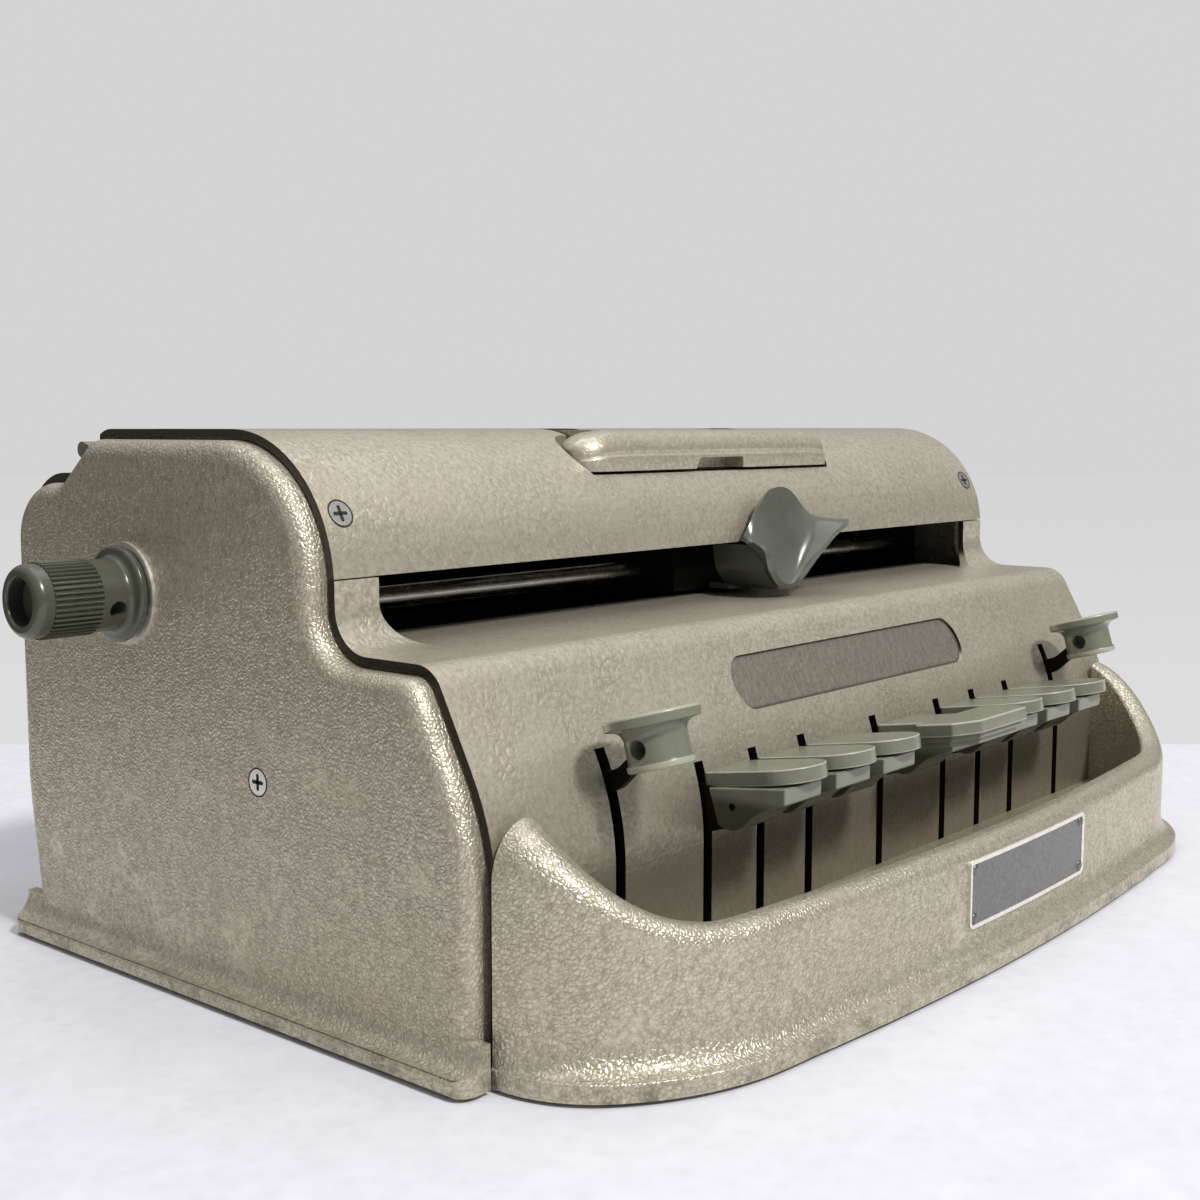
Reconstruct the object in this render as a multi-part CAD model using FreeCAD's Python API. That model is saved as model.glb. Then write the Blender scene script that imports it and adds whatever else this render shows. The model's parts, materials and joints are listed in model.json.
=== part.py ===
import FreeCAD, Part
import math
import os

# A manual braille writer: nine hinged keys, six embossing bars, a sliding embossing carriage,
# a paper feed roller with two knobs, release levers, margin stops, a bell and a folding handle,
# inside a cast and pressed casing.  Millimetres, +Z up, +X to the right of the person typing,
# -Y towards that person.  The origin is on the table, under the middle of the whole machine.

V = FreeCAD.Vector

# ---- casing: side profile, given as Y (depth) and Z (height) ----
foot_gap = 1.0
seam_x = 160.4
end_depth = 6.4
end_wall = 3.0
end_rounding = 4.6
rim_width = 11.0
sheet = 2.0
sheet_lap = 2.0
band_drop = 0.7
front_y = -65.0
slope_foot_z = 54.7
slope_foot_radius = 60.0
ledge_front_y = -46.8
ledge_z = 89.0
ledge_radius = 6.5
brow_y = -13.5
brow_radius = 35.0
cheek_radius = 12.5
top_z = 140.7
top_rear_y = 76.5
top_rear_radius = 8.0
hump_front_y = 91.5
hump_z = 128.7
hump_front_radius = 6.0
hump_rear_radius = 17.0
rear_y = 114.0
rear_tuck_z = 42.0
rear_foot_y = 108.0
rear_tuck_radius = 90.0

# ---- base flange round the two ends ----
flange_out = 5.7
flange_edge = 4.0
flange_cove = 6.5
flange_front_y = -68.0
flange_rear_y = 113.5
flange_corner = 5.0

# ---- front panel and top cover openings ----
cover_edge_z = 108.1
seam_gap = 0.4
top_cover_end_y = 79.0
rear_cover_start_y = 91.0
window_half = 146.7
window_corner = 11.0
ledge_back_y = 4.5
slot_width = 3.6
dot_slot_top = 59.7
line_slot_top = 68.0
recess_x = 3.6
recess_half = 62.3
recess_low_z = 68.0
recess_high_z = 82.0
recess_depth = 0.8
release_x = 154.0
release_slot = 8.0
release_slot_front_y = 70.0
release_slot_low_z = 118.0
margin_slot_half = 128.0
margin_slot_width = 6.0

# ---- key tray ----
tray_wall = 7.6
tray_corner_y = -56.0
tray_corner_deep = 49.5
tray_corner_stretch = 8.2
tray_end_room = 0.6
tray_bow = 5.5
tray_rim_z = 34.5
tray_rim_radius = 3.0
tray_floor_z = 16.0
tray_floor = 2.0
tray_rise_y = -101.0
tray_horn_y = -74.5
tray_horn_z = 58.8
tray_horn_radius = 5.0
tray_skin = 2.4
tray_flange_out = 5.0
tray_flange_side = 0.7

# ---- plates under and on the casing ----
bottom_plate_low = 2.5
bottom_plate = 1.5
foot_radius = 9.0
foot_x = 138.0
foot_front_y = -46.0
foot_back_y = 94.0
label_x = 7.0
label_width = 72.0
label_height = 18.5
label_low_z = 12.2
label_thick = 0.8
plate_room = 0.5
rivet_radius = 1.1
rivet_inset = 2.6
rivet_dome = 0.4
rivet_grip = 1.5

# ---- inner frame ----
frame_x = 147.0
frame_wall = 2.5
frame_low_front_y = -34.0
frame_up_front_y = 6.5
frame_step_z = 84.0
frame_top_z = 124.0
frame_rear_y = 104.0
tie_height = 8.0
tie_thick = 10.0

# ---- keys ----
fulcrum_y = -8.0
fulcrum_z = 40.0
fulcrum_radius = 4.0
running = 0.05
lever_thick = 2.0
hub_radius = 7.5
hub_width = 7.0
tail_y = 31.0
tail_top = 47.5
tail_low = 41.0
hub_drop = 6.5
foot_width = 1.0
spring_y = 26.0
spring_coil_radius = 2.6
spring_wire = 0.45
spring_clearance = 0.3
spring_coils = 14
dot_slots = {"3": -84.3, "2": -61.0, "1": -37.8, "4": 37.8, "5": 61.0, "6": 84.3}
line_slot_x = 118.6
pad_width = 20.0
pad_rear_y = -65.8
pad_front_y = -94.5
pad_rear_z = 53.4
pad_tilt = 9.0
pad_thick = 3.8
pad_offset = -0.3
pad_body_low = 41.4
pad_body_width = 14.0
space_head_left = -5.0
space_head_right = 35.0
space_head_rear_y = -81.0
space_front_y = -99.0
space_chamfer = 6.0
disc_radius = 11.5
disc_y = -75.6
disc_z = 78.4
disc_tilt = 16.0
disc_body_radius = 7.5
disc_body_drop = 13.0

# ---- embossing bars ----
bar_first_y = 3.0
bar_pitch = 3.5
bar_thick = 1.2
bar_low_z = 54.0
bar_high_z = 63.0
bar_side_gap = 0.2
bar_reach = 0.3
key_swing = 8.0

# ---- embossing carriage ----
carriage_x = 9.0
carriage_width = 44.0
block_rear_y = 32.0
lower_block_low = 75.6
lower_block_high = 88.4
throat_low = 90.4
throat_high = 92.6
head_high = 106.0
head_front_y = -1.0
rail_radius = 3.0
upper_rail_y = 15.0
upper_rail_z = 98.4
lower_rail_y = 27.0
lower_rail_z = 81.0
cell_pitch = 2.5
pin_radius = 0.7
cell_y = 12.0
tappet_clearance = 0.3
tappet_radius = 1.1
lever_wall = 1.8

# ---- carriage rack ----
rack_front_y = 38.0
rack_depth = 4.0
rack_low_z = 98.0
rack_high_z = 104.0
tooth_pitch = 6.2
tooth_depth = 2.0

# ---- paper feed ----
feed_y = 59.5
feed_z = 100.5
feed_radius = 10.0
feed_half = 118.0
feed_shaft_radius = 4.0
knob_length = 28.6
knob_gap = 1.4
knob_radius = 9.8
knob_flange_radius = 12.5
knob_flange = 2.6
knob_collar_radius = 9.3
knob_collar = 8.0
knob_grip = 13.5
knob_bore = 5.9
knurls = 34
bush_ring_radius = 13.4
bush_ring = 0.9
bush_radius = 7.0
ratchet_radius = 15.0
ratchet_teeth = 24
ratchet_x = 153.0
ratchet_thick = 2.5
press_radius = 7.0
press_gap = 0.4
press_inset = 2.0
press_shaft_radius = 3.0
release_y = 80.0
release_z = 112.0
release_shaft_radius = 4.0
release_arm_gap = 10.0
release_arm_thick = 4.0
release_lever_thick = 4.0
drum_y = 67.0
drum_z = 32.0
drum_radius = 21.0
guide_thick = 1.2
guide_z = 90.0

# ---- margin stops and bell ----
margin_bar_radius = 3.0
margin_bar_y = 99.0
margin_bar_z = 112.7
stop_radius = 6.0
stop_length = 16.0
stop_neck = 3.4
stop_tab = 11.0
stop_tab_out = 4.2
left_stop_x = -104.0
right_stop_x = 96.0
bell_radius = 18.0
bell_y = 20.0
bell_z = 58.0
bell_x = -157.0
hammer_length = 32.0

# ---- mainspring drum ----
spring_drum_radius = 34.0
spring_drum_width = 8.0
spring_drum_y = 26.0
spring_drum_z = 60.0
spring_drum_x = 155.5

# ---- carrying handle ----
grip_left = -60.5
grip_right = 67.5
grip_depth = 16.5
grip_end_radius = 7.5
arm_left = -50.0
arm_right = 43.5
handle_arm = 12.0
handle_front_y = -7.5
handle_low_z = 130.6
handle_crease_z = 135.2
handle_high_z = 142.4
handle_pivot_y = 41.0
handle_crown = 5.0
handle_crown_radius = 14.0
handle_crease_radius = 2.0
handle_gap = 0.8
well_floor_gap = 0.9
well_wall = 1.5
handle_pin_radius = 2.0
finger_left_x = -11.0
finger_width = 25.0
finger_depth = 7.0
finger_height = 3.4

# ---- fasteners ----
screw_head = 3.5
screw_shank = 1.5
screw_length = 7.0
recess_wing = 0.7
recess_reach = 2.1
recess_sunk = 1.2
cover_screw_x = 154.5
cover_screw_angle = 28.0
cover_rear_screw_y = 55.0
side_screw_y = 6.4
side_screw_z = 58.3

nodes = {}


def box(x0, y0, z0, x1, y1, z1):
    return Part.makeBox(x1 - x0, y1 - y0, z1 - z0, V(x0, y0, z0))


def rod_x(radius, y, z, x0, x1):
    return Part.makeCylinder(radius, x1 - x0, V(x0, y, z), V(1, 0, 0))


def rod_z(radius, x, y, z0, z1):
    return Part.makeCylinder(radius, z1 - z0, V(x, y, z0), V(0, 0, 1))


def fuse(shapes):
    whole = shapes[0]
    for shape in shapes[1:]:
        whole = whole.fuse(shape)
    return whole.removeSplitter()


def group(shapes):
    return Part.makeCompound(shapes)


def mirrored(shape):
    return shape.mirror(V(0, 0, 0), V(1, 0, 0))


def grow(corners, out):
    """Move every side of a closed anticlockwise outline outwards; arcs keep their centres."""
    count = len(corners)
    sides = []
    for i in range(count):
        a, b = corners[i], corners[(i + 1) % count]
        length = math.hypot(b[0] - a[0], b[1] - a[1])
        nx, ny = (b[1] - a[1]) / length, (a[0] - b[0]) / length
        sides.append((nx, ny, nx * a[0] + ny * a[1] + out))
    grown = []
    for i in range(count):
        n1, n2 = sides[i - 1], sides[i]
        cross = n1[0] * n2[1] - n1[1] * n2[0]
        x = (n1[2] * n2[1] - n2[2] * n1[1]) / cross
        y = (n2[2] * n1[0] - n1[2] * n2[0]) / cross
        radius = corners[i][2]
        if radius > 0:
            radius = max(radius + (out if cross > 0 else -out), 0.05)
        grown.append((x, y, radius))
    return grown


def outline(corners, place):
    """Closed face of straight sides whose corners (a, b, radius) are rounded by arcs."""
    count = len(corners)
    runs = []
    for i in range(count):
        here = V(corners[i][0], corners[i][1], 0)
        before = V(corners[i - 1][0], corners[i - 1][1], 0)
        after = V(corners[(i + 1) % count][0], corners[(i + 1) % count][1], 0)
        radius = corners[i][2]
        if radius <= 0:
            runs.append((here, None, here))
            continue
        to_before = (before - here).normalize()
        to_after = (after - here).normalize()
        half = to_before.getAngle(to_after) / 2
        tangent = radius / math.tan(half)
        middle = (to_before + to_after).normalize()
        centre = here + middle * (radius / math.sin(half))
        runs.append((here + to_before * tangent, centre - middle * radius, here + to_after * tangent))
    edges = []
    for i in range(count):
        first, mid, last = runs[i]
        if mid is not None:
            edges.append(Part.Arc(place(first), place(mid), place(last)).toShape())
        start = runs[(i + 1) % count][0]
        if last.distanceToPoint(start) > 1e-6:
            edges.append(Part.LineSegment(place(last), place(start)).toShape())
    return Part.Face(Part.Wire(edges))


def slab_x(corners, x0, x1):
    """Solid with a (Y, Z) outline between two X planes."""
    return outline(corners, lambda p: V(x0, p.x, p.y)).extrude(V(x1 - x0, 0, 0))


def slab_y(corners, y0, y1):
    """Solid with an (X, Z) outline between two Y planes."""
    return outline(corners, lambda p: V(p.x, y0, p.y)).extrude(V(0, y1 - y0, 0))


def slab_z(corners, z0, z1):
    """Solid with an (X, Y) outline between two Z planes."""
    return outline(corners, lambda p: V(p.x, p.y, z0)).extrude(V(0, 0, z1 - z0))


def turned(profile, axis_point, axis, place):
    """Solid of revolution of a closed outline."""
    return outline(profile, place).revolve(axis_point, axis, 360)


# ---------------------------------------------------------------- casing

casing_low = foot_gap
casing = [
    (front_y, casing_low, 0),
    (rear_foot_y, casing_low, 0),
    (rear_y, rear_tuck_z, rear_tuck_radius),
    (rear_y, hump_z, hump_rear_radius),
    (hump_front_y, hump_z, hump_front_radius),
    (top_rear_y, top_z, top_rear_radius),
    (brow_y, top_z, brow_radius),
    (brow_y, ledge_z, cheek_radius),
    (ledge_front_y, ledge_z, ledge_radius),
    (front_y, slope_foot_z, slope_foot_radius),
]
end_x = seam_x + end_depth
frame_out = frame_x + frame_wall
far = 400.0


def casing_slab(out, x0, x1):
    return slab_x(grow(casing, out), x0, x1)


def sheet_band():
    """The sheet that lies over the casing outline, between the two seams."""
    return casing_slab(sheet, -seam_x, seam_x).cut(casing_slab(0, -seam_x - 1, seam_x + 1))


def screw(point, direction):
    """Countersunk screw whose head is flush at point and whose shank runs along direction."""
    head = Part.makeCone(screw_head, screw_shank, screw_head - screw_shank, point, direction)
    shank = Part.makeCylinder(screw_shank, screw_length, point, direction)
    return head.fuse(shank).removeSplitter()


def cross_recess(point, direction):
    """Cross-shaped drive recess cut into a screw head's face."""
    half = recess_wing / 2
    cutter = box(-recess_reach, -half, -1, recess_reach, half, recess_sunk)
    cutter = cutter.fuse(box(-half, -recess_reach, -1, half, recess_reach, recess_sunk))
    cutter.Placement = FreeCAD.Placement(point, FreeCAD.Rotation(V(0, 0, 1), direction))
    return cutter


brow_centre = V(0, brow_y + brow_radius, top_z - brow_radius)
cover_screw_turn = math.radians(cover_screw_angle)
cover_screw_in = V(0, math.cos(cover_screw_turn), -math.sin(cover_screw_turn))
cover_screw_point = brow_centre - cover_screw_in * (brow_radius + sheet)


def casing_screw_places():
    """Face point and inward direction of every screw that shows on the casing."""
    places = []
    for side in (-1, 1):
        front = V(side * cover_screw_x, cover_screw_point.y, cover_screw_point.z)
        places.append((front, cover_screw_in))
        places.append((V(side * cover_screw_x, cover_rear_screw_y, top_z + sheet), V(0, 0, -1)))
        places.append((V(side * cover_screw_x, rear_y + sheet, frame_step_z), V(0, -1, 0)))
        places.append((V(side * end_x, side_screw_y, side_screw_z), V(-side, 0, 0)))
    return places


casing_screws = [screw(point, into) for point, into in casing_screw_places()]


def less_screws(shape):
    for one in casing_screws:
        shape = shape.cut(one)
    return shape


def end_panel():
    """Right end casting: rounded outer face, inward rim under the covers, flange at the base."""
    band_start = seam_x - sheet_lap
    solid = casing_slab(-band_drop, band_start, end_x)
    outer = []
    for edge in solid.Edges:
        middle = edge.valueAt((edge.FirstParameter + edge.LastParameter) / 2)
        if abs(middle.x - end_x) < 1e-4 and middle.z > casing_low + 1:
            outer.append(edge)
    solid = solid.makeFillet(end_rounding, outer)
    solid = solid.fuse(casing_slab(0, seam_x - rim_width, band_start))
    hollow = casing_slab(-end_wall, seam_x - rim_width - 1, end_x - end_wall)
    solid = solid.cut(hollow)
    solid = solid.cut(box(0, front_y + end_wall, -1, end_x - end_wall, rear_foot_y - end_wall, casing_low + end_wall))
    low = casing_low + flange_edge
    foot = [
        (end_x - end_wall, casing_low, 0),
        (end_x + flange_out, casing_low, 0.8),
        (end_x + flange_out, low, 1.2),
        (end_x + 0.01, low, flange_cove * 0.86),
        (end_x - 0.2, low + flange_cove, 0),
        (end_x - end_wall, low + flange_cove, 0),
    ]
    flange = slab_y(foot, flange_front_y, flange_rear_y)
    plan = [
        (0, flange_front_y, 0),
        (end_x + flange_out, flange_front_y, flange_corner),
        (end_x + flange_out, flange_rear_y, flange_corner),
        (0, flange_rear_y, 0),
    ]
    flange = flange.common(slab_z(plan, 0, 60))
    solid = solid.fuse(flange)
    solid = solid.cut(rod_x(bush_radius, feed_y, feed_z, seam_x - rim_width, end_x + 1))
    half = release_slot / 2
    slot = box(0, release_slot_front_y, release_slot_low_z, release_x + half, rear_cover_start_y + 8, far)
    return solid.cut(slot).removeSplitter()


def front_panel():
    band = sheet_band()
    solid = band.common(box(-seam_x, front_y - 20, casing_low, seam_x, brow_y + cheek_radius, cover_edge_z - seam_gap))
    ledge_top = ledge_z + sheet
    window = [
        (-window_half, ledge_top, window_corner),
        (window_half, ledge_top, window_corner),
        (window_half, top_z, 0),
        (-window_half, top_z, 0),
    ]
    solid = solid.cut(slab_y(window, ledge_front_y + ledge_radius, brow_y + 60))
    flat_y = brow_y - cheek_radius - 1
    solid = solid.fuse(box(-window_half, flat_y, ledge_z, window_half, ledge_back_y, ledge_top))
    for x in key_slot_places():
        high = line_slot_top if abs(x) == line_slot_x else dot_slot_top
        solid = solid.cut(box(x - slot_width / 2, front_y - 20, 0, x + slot_width / 2, ledge_front_y, high))
    round_end = (recess_high_z - recess_low_z) / 2 - 0.01
    pill = [
        (recess_x - recess_half, recess_low_z, round_end),
        (recess_x + recess_half, recess_low_z, round_end),
        (recess_x + recess_half, recess_high_z, round_end),
        (recess_x - recess_half, recess_high_z, round_end),
    ]
    skin = casing_slab(sheet + 2, -seam_x, seam_x).cut(casing_slab(sheet - recess_depth, -seam_x - 1, seam_x + 1))
    solid = solid.cut(slab_y(pill, front_y - 10, ledge_front_y + 10).common(skin))
    return less_screws(solid.removeSplitter())


def key_slot_places():
    return [-line_slot_x, 0.0, line_slot_x] + list(dot_slots.values())


# ---------------------------------------------------------------- carrying handle

well_floor_z = handle_low_z - well_floor_gap
handle_rear_y = handle_pivot_y + (handle_high_z - handle_low_z) / 2
handle_pivot_z = (handle_high_z + handle_low_z) / 2


def grip_plan(out):
    """Grip bar seen from above, with round ends."""
    round_end = grip_depth / 2 + out - 0.01
    front, rear = handle_front_y - out, handle_front_y + grip_depth + out
    return [
        (grip_left - out, front, round_end),
        (grip_right + out, front, round_end),
        (grip_right + out, rear, round_end),
        (grip_left - out, rear, round_end),
    ]


def arm_plans(out):
    """Both arms seen from above, from inside the grip bar to behind the hinge pins."""
    front, rear = handle_front_y + grip_depth / 2, handle_rear_y + out
    plans = []
    for start in (arm_left, arm_right - handle_arm):
        left, right = start - out, start + handle_arm + out
        plans.append([(left, front, 0), (right, front, 0), (right, rear, 0), (left, rear, 0)])
    return plans


def handle_well(spread, floor_z):
    """Pocket for the folded handle, open above."""
    room = handle_gap + spread
    pocket = slab_z(grip_plan(room), floor_z, far)
    for plan in arm_plans(room):
        pocket = pocket.fuse(slab_z(plan, floor_z, far))
    return pocket


def top_cover():
    band = sheet_band()
    solid = band.common(box(-seam_x, brow_y - sheet - 1, cover_edge_z, seam_x, top_cover_end_y, far))
    liner = handle_well(well_wall, well_floor_z - well_wall).common(casing_slab(sheet, -seam_x, seam_x))
    solid = solid.fuse(liner).cut(handle_well(0, well_floor_z))
    for x in handle_pin_places():
        solid = solid.cut(rod_x(handle_pin_radius, handle_pivot_y, handle_pivot_z, x[0], x[1]))
    return less_screws(solid.removeSplitter())


def handle_pin_places():
    """Start and end X of the two hinge pins, from each outer well wall into its arm."""
    left = arm_left - handle_gap - well_wall
    right = arm_right + handle_gap + well_wall
    length = well_wall + handle_gap + handle_arm * 0.8
    return [(left, left + length), (right - length, right)]


def carry_handle():
    """Folding handle: a round-ended grip bar with an arm back to each hinge pin."""
    bar = slab_z(grip_plan(0), handle_low_z, handle_high_z)
    ends = [
        (grip_left, handle_low_z, 0),
        (grip_right, handle_low_z, 0),
        (grip_right, handle_high_z, grip_end_radius),
        (grip_left, handle_high_z, grip_end_radius),
    ]
    solid = bar.common(slab_y(ends, handle_front_y - 1, handle_rear_y))
    for plan in arm_plans(0):
        solid = solid.fuse(slab_z(plan, handle_low_z, handle_high_z))
    end_round = (handle_high_z - handle_low_z) / 2 - 0.01
    side = [
        (handle_front_y, handle_low_z, 0),
        (handle_rear_y, handle_low_z, end_round),
        (handle_rear_y, handle_high_z, end_round),
        (handle_front_y + handle_crown, handle_high_z, handle_crown_radius),
        (handle_front_y, handle_crease_z, handle_crease_radius),
    ]
    solid = solid.common(slab_x(side, grip_left - 1, grip_right + 1))
    finger = [
        (finger_left_x, handle_low_z - 1, 0),
        (finger_left_x + finger_width, handle_low_z - 1, 0),
        (finger_left_x + finger_width, handle_low_z + finger_height, 1.0),
        (finger_left_x + 2.5, handle_low_z + finger_height, 2.5),
    ]
    solid = solid.cut(slab_y(finger, handle_front_y - 1, handle_front_y + finger_depth))
    for x in handle_pin_places():
        solid = solid.cut(rod_x(handle_pin_radius + running, handle_pivot_y, handle_pivot_z, x[0] - 1, x[1] + 1))
    return solid.removeSplitter()


def handle_pins():
    return group([rod_x(handle_pin_radius, handle_pivot_y, handle_pivot_z, x[0], x[1]) for x in handle_pin_places()])


# ---------------------------------------------------------------- rear cover

hump_centre_y = rear_y - hump_rear_radius
hump_centre_z = hump_z - hump_rear_radius


def slanted_box(half_x, centre_x, half_width, start, end):
    """Box that leaves the rear hump's centre at 45 degrees, between two distances from it."""
    blank = box(centre_x - half_x, start, -half_width, centre_x + half_x, end, half_width)
    blank.rotate(V(0, 0, 0), V(1, 0, 0), 45)
    blank.translate(V(0, hump_centre_y, hump_centre_z))
    return blank


def rear_cover():
    band = sheet_band()
    above = box(-seam_x, rear_cover_start_y, casing_low, seam_x, rear_y + 20, far)
    solid = band.common(above)
    reach = hump_rear_radius
    solid = solid.cut(slanted_box(margin_slot_half, 0, margin_slot_width / 2, reach - 6, reach + 12))
    return less_screws(solid.removeSplitter())


# ---------------------------------------------------------------- key tray

tray_rear_y = front_y - sheet


def tray_axes(out, side_out):
    """Half axes of a tray corner's ellipse, along X and along Y."""
    return tray_corner_deep + tray_corner_stretch + side_out, tray_corner_deep + out


def tray_reach(out, side_out, rear_y):
    """How far a corner reaches along X, from its centre, where the plan ends at the back."""
    wide, deep = tray_axes(out, side_out)
    return wide * math.sqrt(1 - ((rear_y - tray_corner_y) / deep) ** 2)


tray_foot_x = end_x - end_wall - tray_end_room
tray_corner_x = tray_foot_x - tray_reach(tray_flange_out, tray_flange_side, tray_rear_y)


def tray_corner(side, wide, deep, rear_y):
    """Elliptical corner edge from the bowed front to the rear line."""
    ellipse = Part.Ellipse(V(side * tray_corner_x, tray_corner_y, 0), wide, deep)
    front = -math.pi / 2
    back = math.asin((rear_y - tray_corner_y) / deep)
    if side < 0:
        front, back = -math.pi - back, front
    return Part.Arc(ellipse, front, back).toShape()


def tray_plan(out, side_out, rear_y):
    """Tray outline seen from above: a bowed front between two elliptical corners."""
    wide, deep = tray_axes(out, side_out)
    front = tray_corner_y - deep
    left = V(-tray_corner_x, front, 0)
    right = V(tray_corner_x, front, 0)
    end_reach = tray_corner_x + tray_reach(out, side_out, rear_y)
    edges = [
        Part.Arc(left, V(0, front - tray_bow, 0), right).toShape(),
        tray_corner(1, wide, deep, rear_y),
        Part.LineSegment(V(end_reach, rear_y, 0), V(-end_reach, rear_y, 0)).toShape(),
        tray_corner(-1, wide, deep, rear_y),
    ]
    return Part.Face(Part.Wire(edges))


def tray_block(out, rear_y, z0, z1, side_out=None):
    face = tray_plan(out, out if side_out is None else side_out, rear_y)
    face.translate(V(0, 0, z0))
    return face.extrude(V(0, 0, z1 - z0))


def rounded_top(solid, low_z, radius):
    """Round the upper edges of a wall whose top varies in height."""
    edges = []
    for edge in solid.Edges:
        box_of = edge.BoundBox
        if box_of.ZMin > low_z and abs(box_of.YMax - tray_rear_y) > 0.5:
            edges.append(edge)
    return solid.makeFillet(radius, edges)


def key_tray():
    """Casting in front of the panel: bowed wall with raised ends, floor and base flange."""
    outer = tray_block(0, tray_rear_y, casing_low, tray_horn_z)
    inner = tray_block(-tray_wall, tray_rear_y + 1, tray_floor_z, tray_horn_z + 1)
    wall = outer.cut(inner)
    side = [
        (tray_rear_y - 100, tray_rim_z, 0),
        (tray_rise_y, tray_rim_z, 12.0),
        (tray_horn_y, tray_horn_z, tray_horn_radius),
        (tray_rear_y + 50, tray_horn_z, 0),
        (tray_rear_y + 50, tray_horn_z + 50, 0),
        (tray_rear_y - 100, tray_horn_z + 50, 0),
    ]
    wall = wall.cut(slab_x(side, -seam_x - 40, seam_x + 40))
    wall = rounded_top(wall, tray_rim_z - 4, tray_rim_radius)
    under = tray_block(-tray_skin, tray_rear_y - tray_skin, 0, tray_floor_z - tray_floor)
    wall = wall.cut(under)
    hollow = tray_block(-tray_skin, tray_rear_y - tray_skin, 0, tray_rim_z - 5)
    hollow = hollow.cut(tray_block(tray_skin - tray_wall, tray_rear_y + 1, -1, tray_rim_z))
    wall = wall.cut(hollow)
    foot_high = casing_low + flange_edge
    flange = tray_block(tray_flange_out, tray_rear_y, casing_low, foot_high, tray_flange_side)
    flange = flange.cut(tray_block(-tray_skin, tray_rear_y + 1, 0, tray_horn_z))
    return wall.fuse(flange).removeSplitter()


# ---------------------------------------------------------------- plates, feet and label

def bottom_plate_solid():
    """Sheet that closes the casing underneath."""
    inset = end_wall + plate_room
    half = end_x - inset
    high = bottom_plate_low + bottom_plate
    plate = box(-half, front_y + inset, bottom_plate_low, half, rear_foot_y - inset, high)
    for x, y in foot_places():
        plate = plate.cut(rod_z(screw_shank, x, y, 0, tie_height))
    return plate


def foot_places():
    return [(x, y) for x in (-foot_x, foot_x) for y in (foot_front_y, foot_back_y)]


def rubber_feet():
    """Round feet, each with a stem pressed through the bottom plate."""
    feet = []
    for x, y in foot_places():
        pad = rod_z(foot_radius, x, y, 0, bottom_plate_low)
        pad = pad.makeChamfer(0.5, [pad.Edges[0], pad.Edges[2]])
        feet.append(pad.fuse(rod_z(screw_shank, x, y, 0.5, bottom_plate_low + bottom_plate)).removeSplitter())
    return group(feet)


def label_parts():
    """Bare plate on the tray's front wall, and its four rivets."""
    wall = tray_block(0, tray_rear_y, 0, far)
    skin = tray_block(label_thick, tray_rear_y, 0, far).cut(wall)
    left, right = label_x - label_width / 2, label_x + label_width / 2
    high = label_low_z + label_height
    blank = box(left, -far, label_low_z, right, tray_corner_y, high)
    plate = skin.common(blank)
    shell = tray_block(label_thick + rivet_dome, tray_rear_y, 0, far)
    shell = shell.cut(tray_block(-rivet_grip, tray_rear_y, 0, far))
    rivets = []
    for x in (left + rivet_inset, right - rivet_inset):
        for z in (label_low_z + rivet_inset, high - rivet_inset):
            shaft = Part.makeCylinder(rivet_radius, far, V(x, -far, z), V(0, 1, 0))
            rivets.append(shaft.common(shell))
    cutter = group(rivets)
    return plate.cut(cutter), cutter


# ---------------------------------------------------------------- inner frame

def side_frame():
    """Right side plate that carries the shafts, rails and bars."""
    floor = bottom_plate_low + bottom_plate
    side = [
        (frame_low_front_y, floor, 0),
        (frame_rear_y - 4, floor, 0),
        (frame_rear_y, floor + 30, 0),
        (frame_rear_y, frame_top_z - 4, 10.0),
        (frame_up_front_y, frame_top_z, 10.0),
        (frame_up_front_y, frame_step_z, 0),
        (frame_low_front_y, frame_step_z, 6.0),
    ]
    plate = slab_x(side, frame_x, frame_out)
    holes = [
        (fulcrum_radius, fulcrum_y, fulcrum_z),
        (rail_radius, upper_rail_y, upper_rail_z),
        (rail_radius, lower_rail_y, lower_rail_z),
        (feed_shaft_radius + running, feed_y, feed_z),
        (release_shaft_radius + running, release_y, release_z),
        (margin_bar_radius, margin_bar_y, margin_bar_z),
    ]
    for radius, y, z in holes:
        plate = plate.cut(rod_x(radius, y, z, frame_x - 1, frame_out + 1))
    for y in bar_places():
        slot = bar_thick / 2 + bar_side_gap
        high = bar_high_z + (y - fulcrum_y) * math.radians(key_swing) + bar_side_gap
        plate = plate.cut(box(frame_x - 1, y - slot, bar_low_z - bar_side_gap, frame_out + 1, y + slot, high))
    return plate


def bar_places():
    return [bar_first_y + i * bar_pitch for i in range(6)]


def tie_bars():
    """Cross bars between the side frames, and the anchor bar for the key springs."""
    floor = bottom_plate_low + bottom_plate
    bars = []
    for y in (frame_low_front_y, spring_y - tie_thick / 2, frame_rear_y - 6 - tie_thick):
        bars.append(box(-frame_x, y, floor, frame_x, y + tie_thick, floor + tie_height))
    return group(bars)


def tail_underside(y):
    """Height of a key lever's lower edge behind the fulcrum shaft."""
    start_y, start_z = fulcrum_y - 2, fulcrum_z - hub_drop
    return start_z + (tail_low - start_z) * (y - start_y) / (tail_y - start_y)


def key_springs():
    """One close-wound return spring below the tail of each key lever."""
    low = bottom_plate_low + bottom_plate + tie_height + spring_wire
    reach = spring_coil_radius + spring_wire
    high = tail_underside(spring_y - reach) - spring_clearance - spring_wire
    springs = []
    for x in key_slot_places():
        helix = Part.makeHelix((high - low) / spring_coils, high - low, spring_coil_radius)
        section = Part.Wire(Part.makeCircle(spring_wire, V(spring_coil_radius, 0, 0), V(0, 1, 0)))
        coil = Part.Wire(helix).makePipeShell([section], True, True)
        coil.translate(V(x, spring_y, low))
        springs.append(coil)
    return group(springs)


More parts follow.
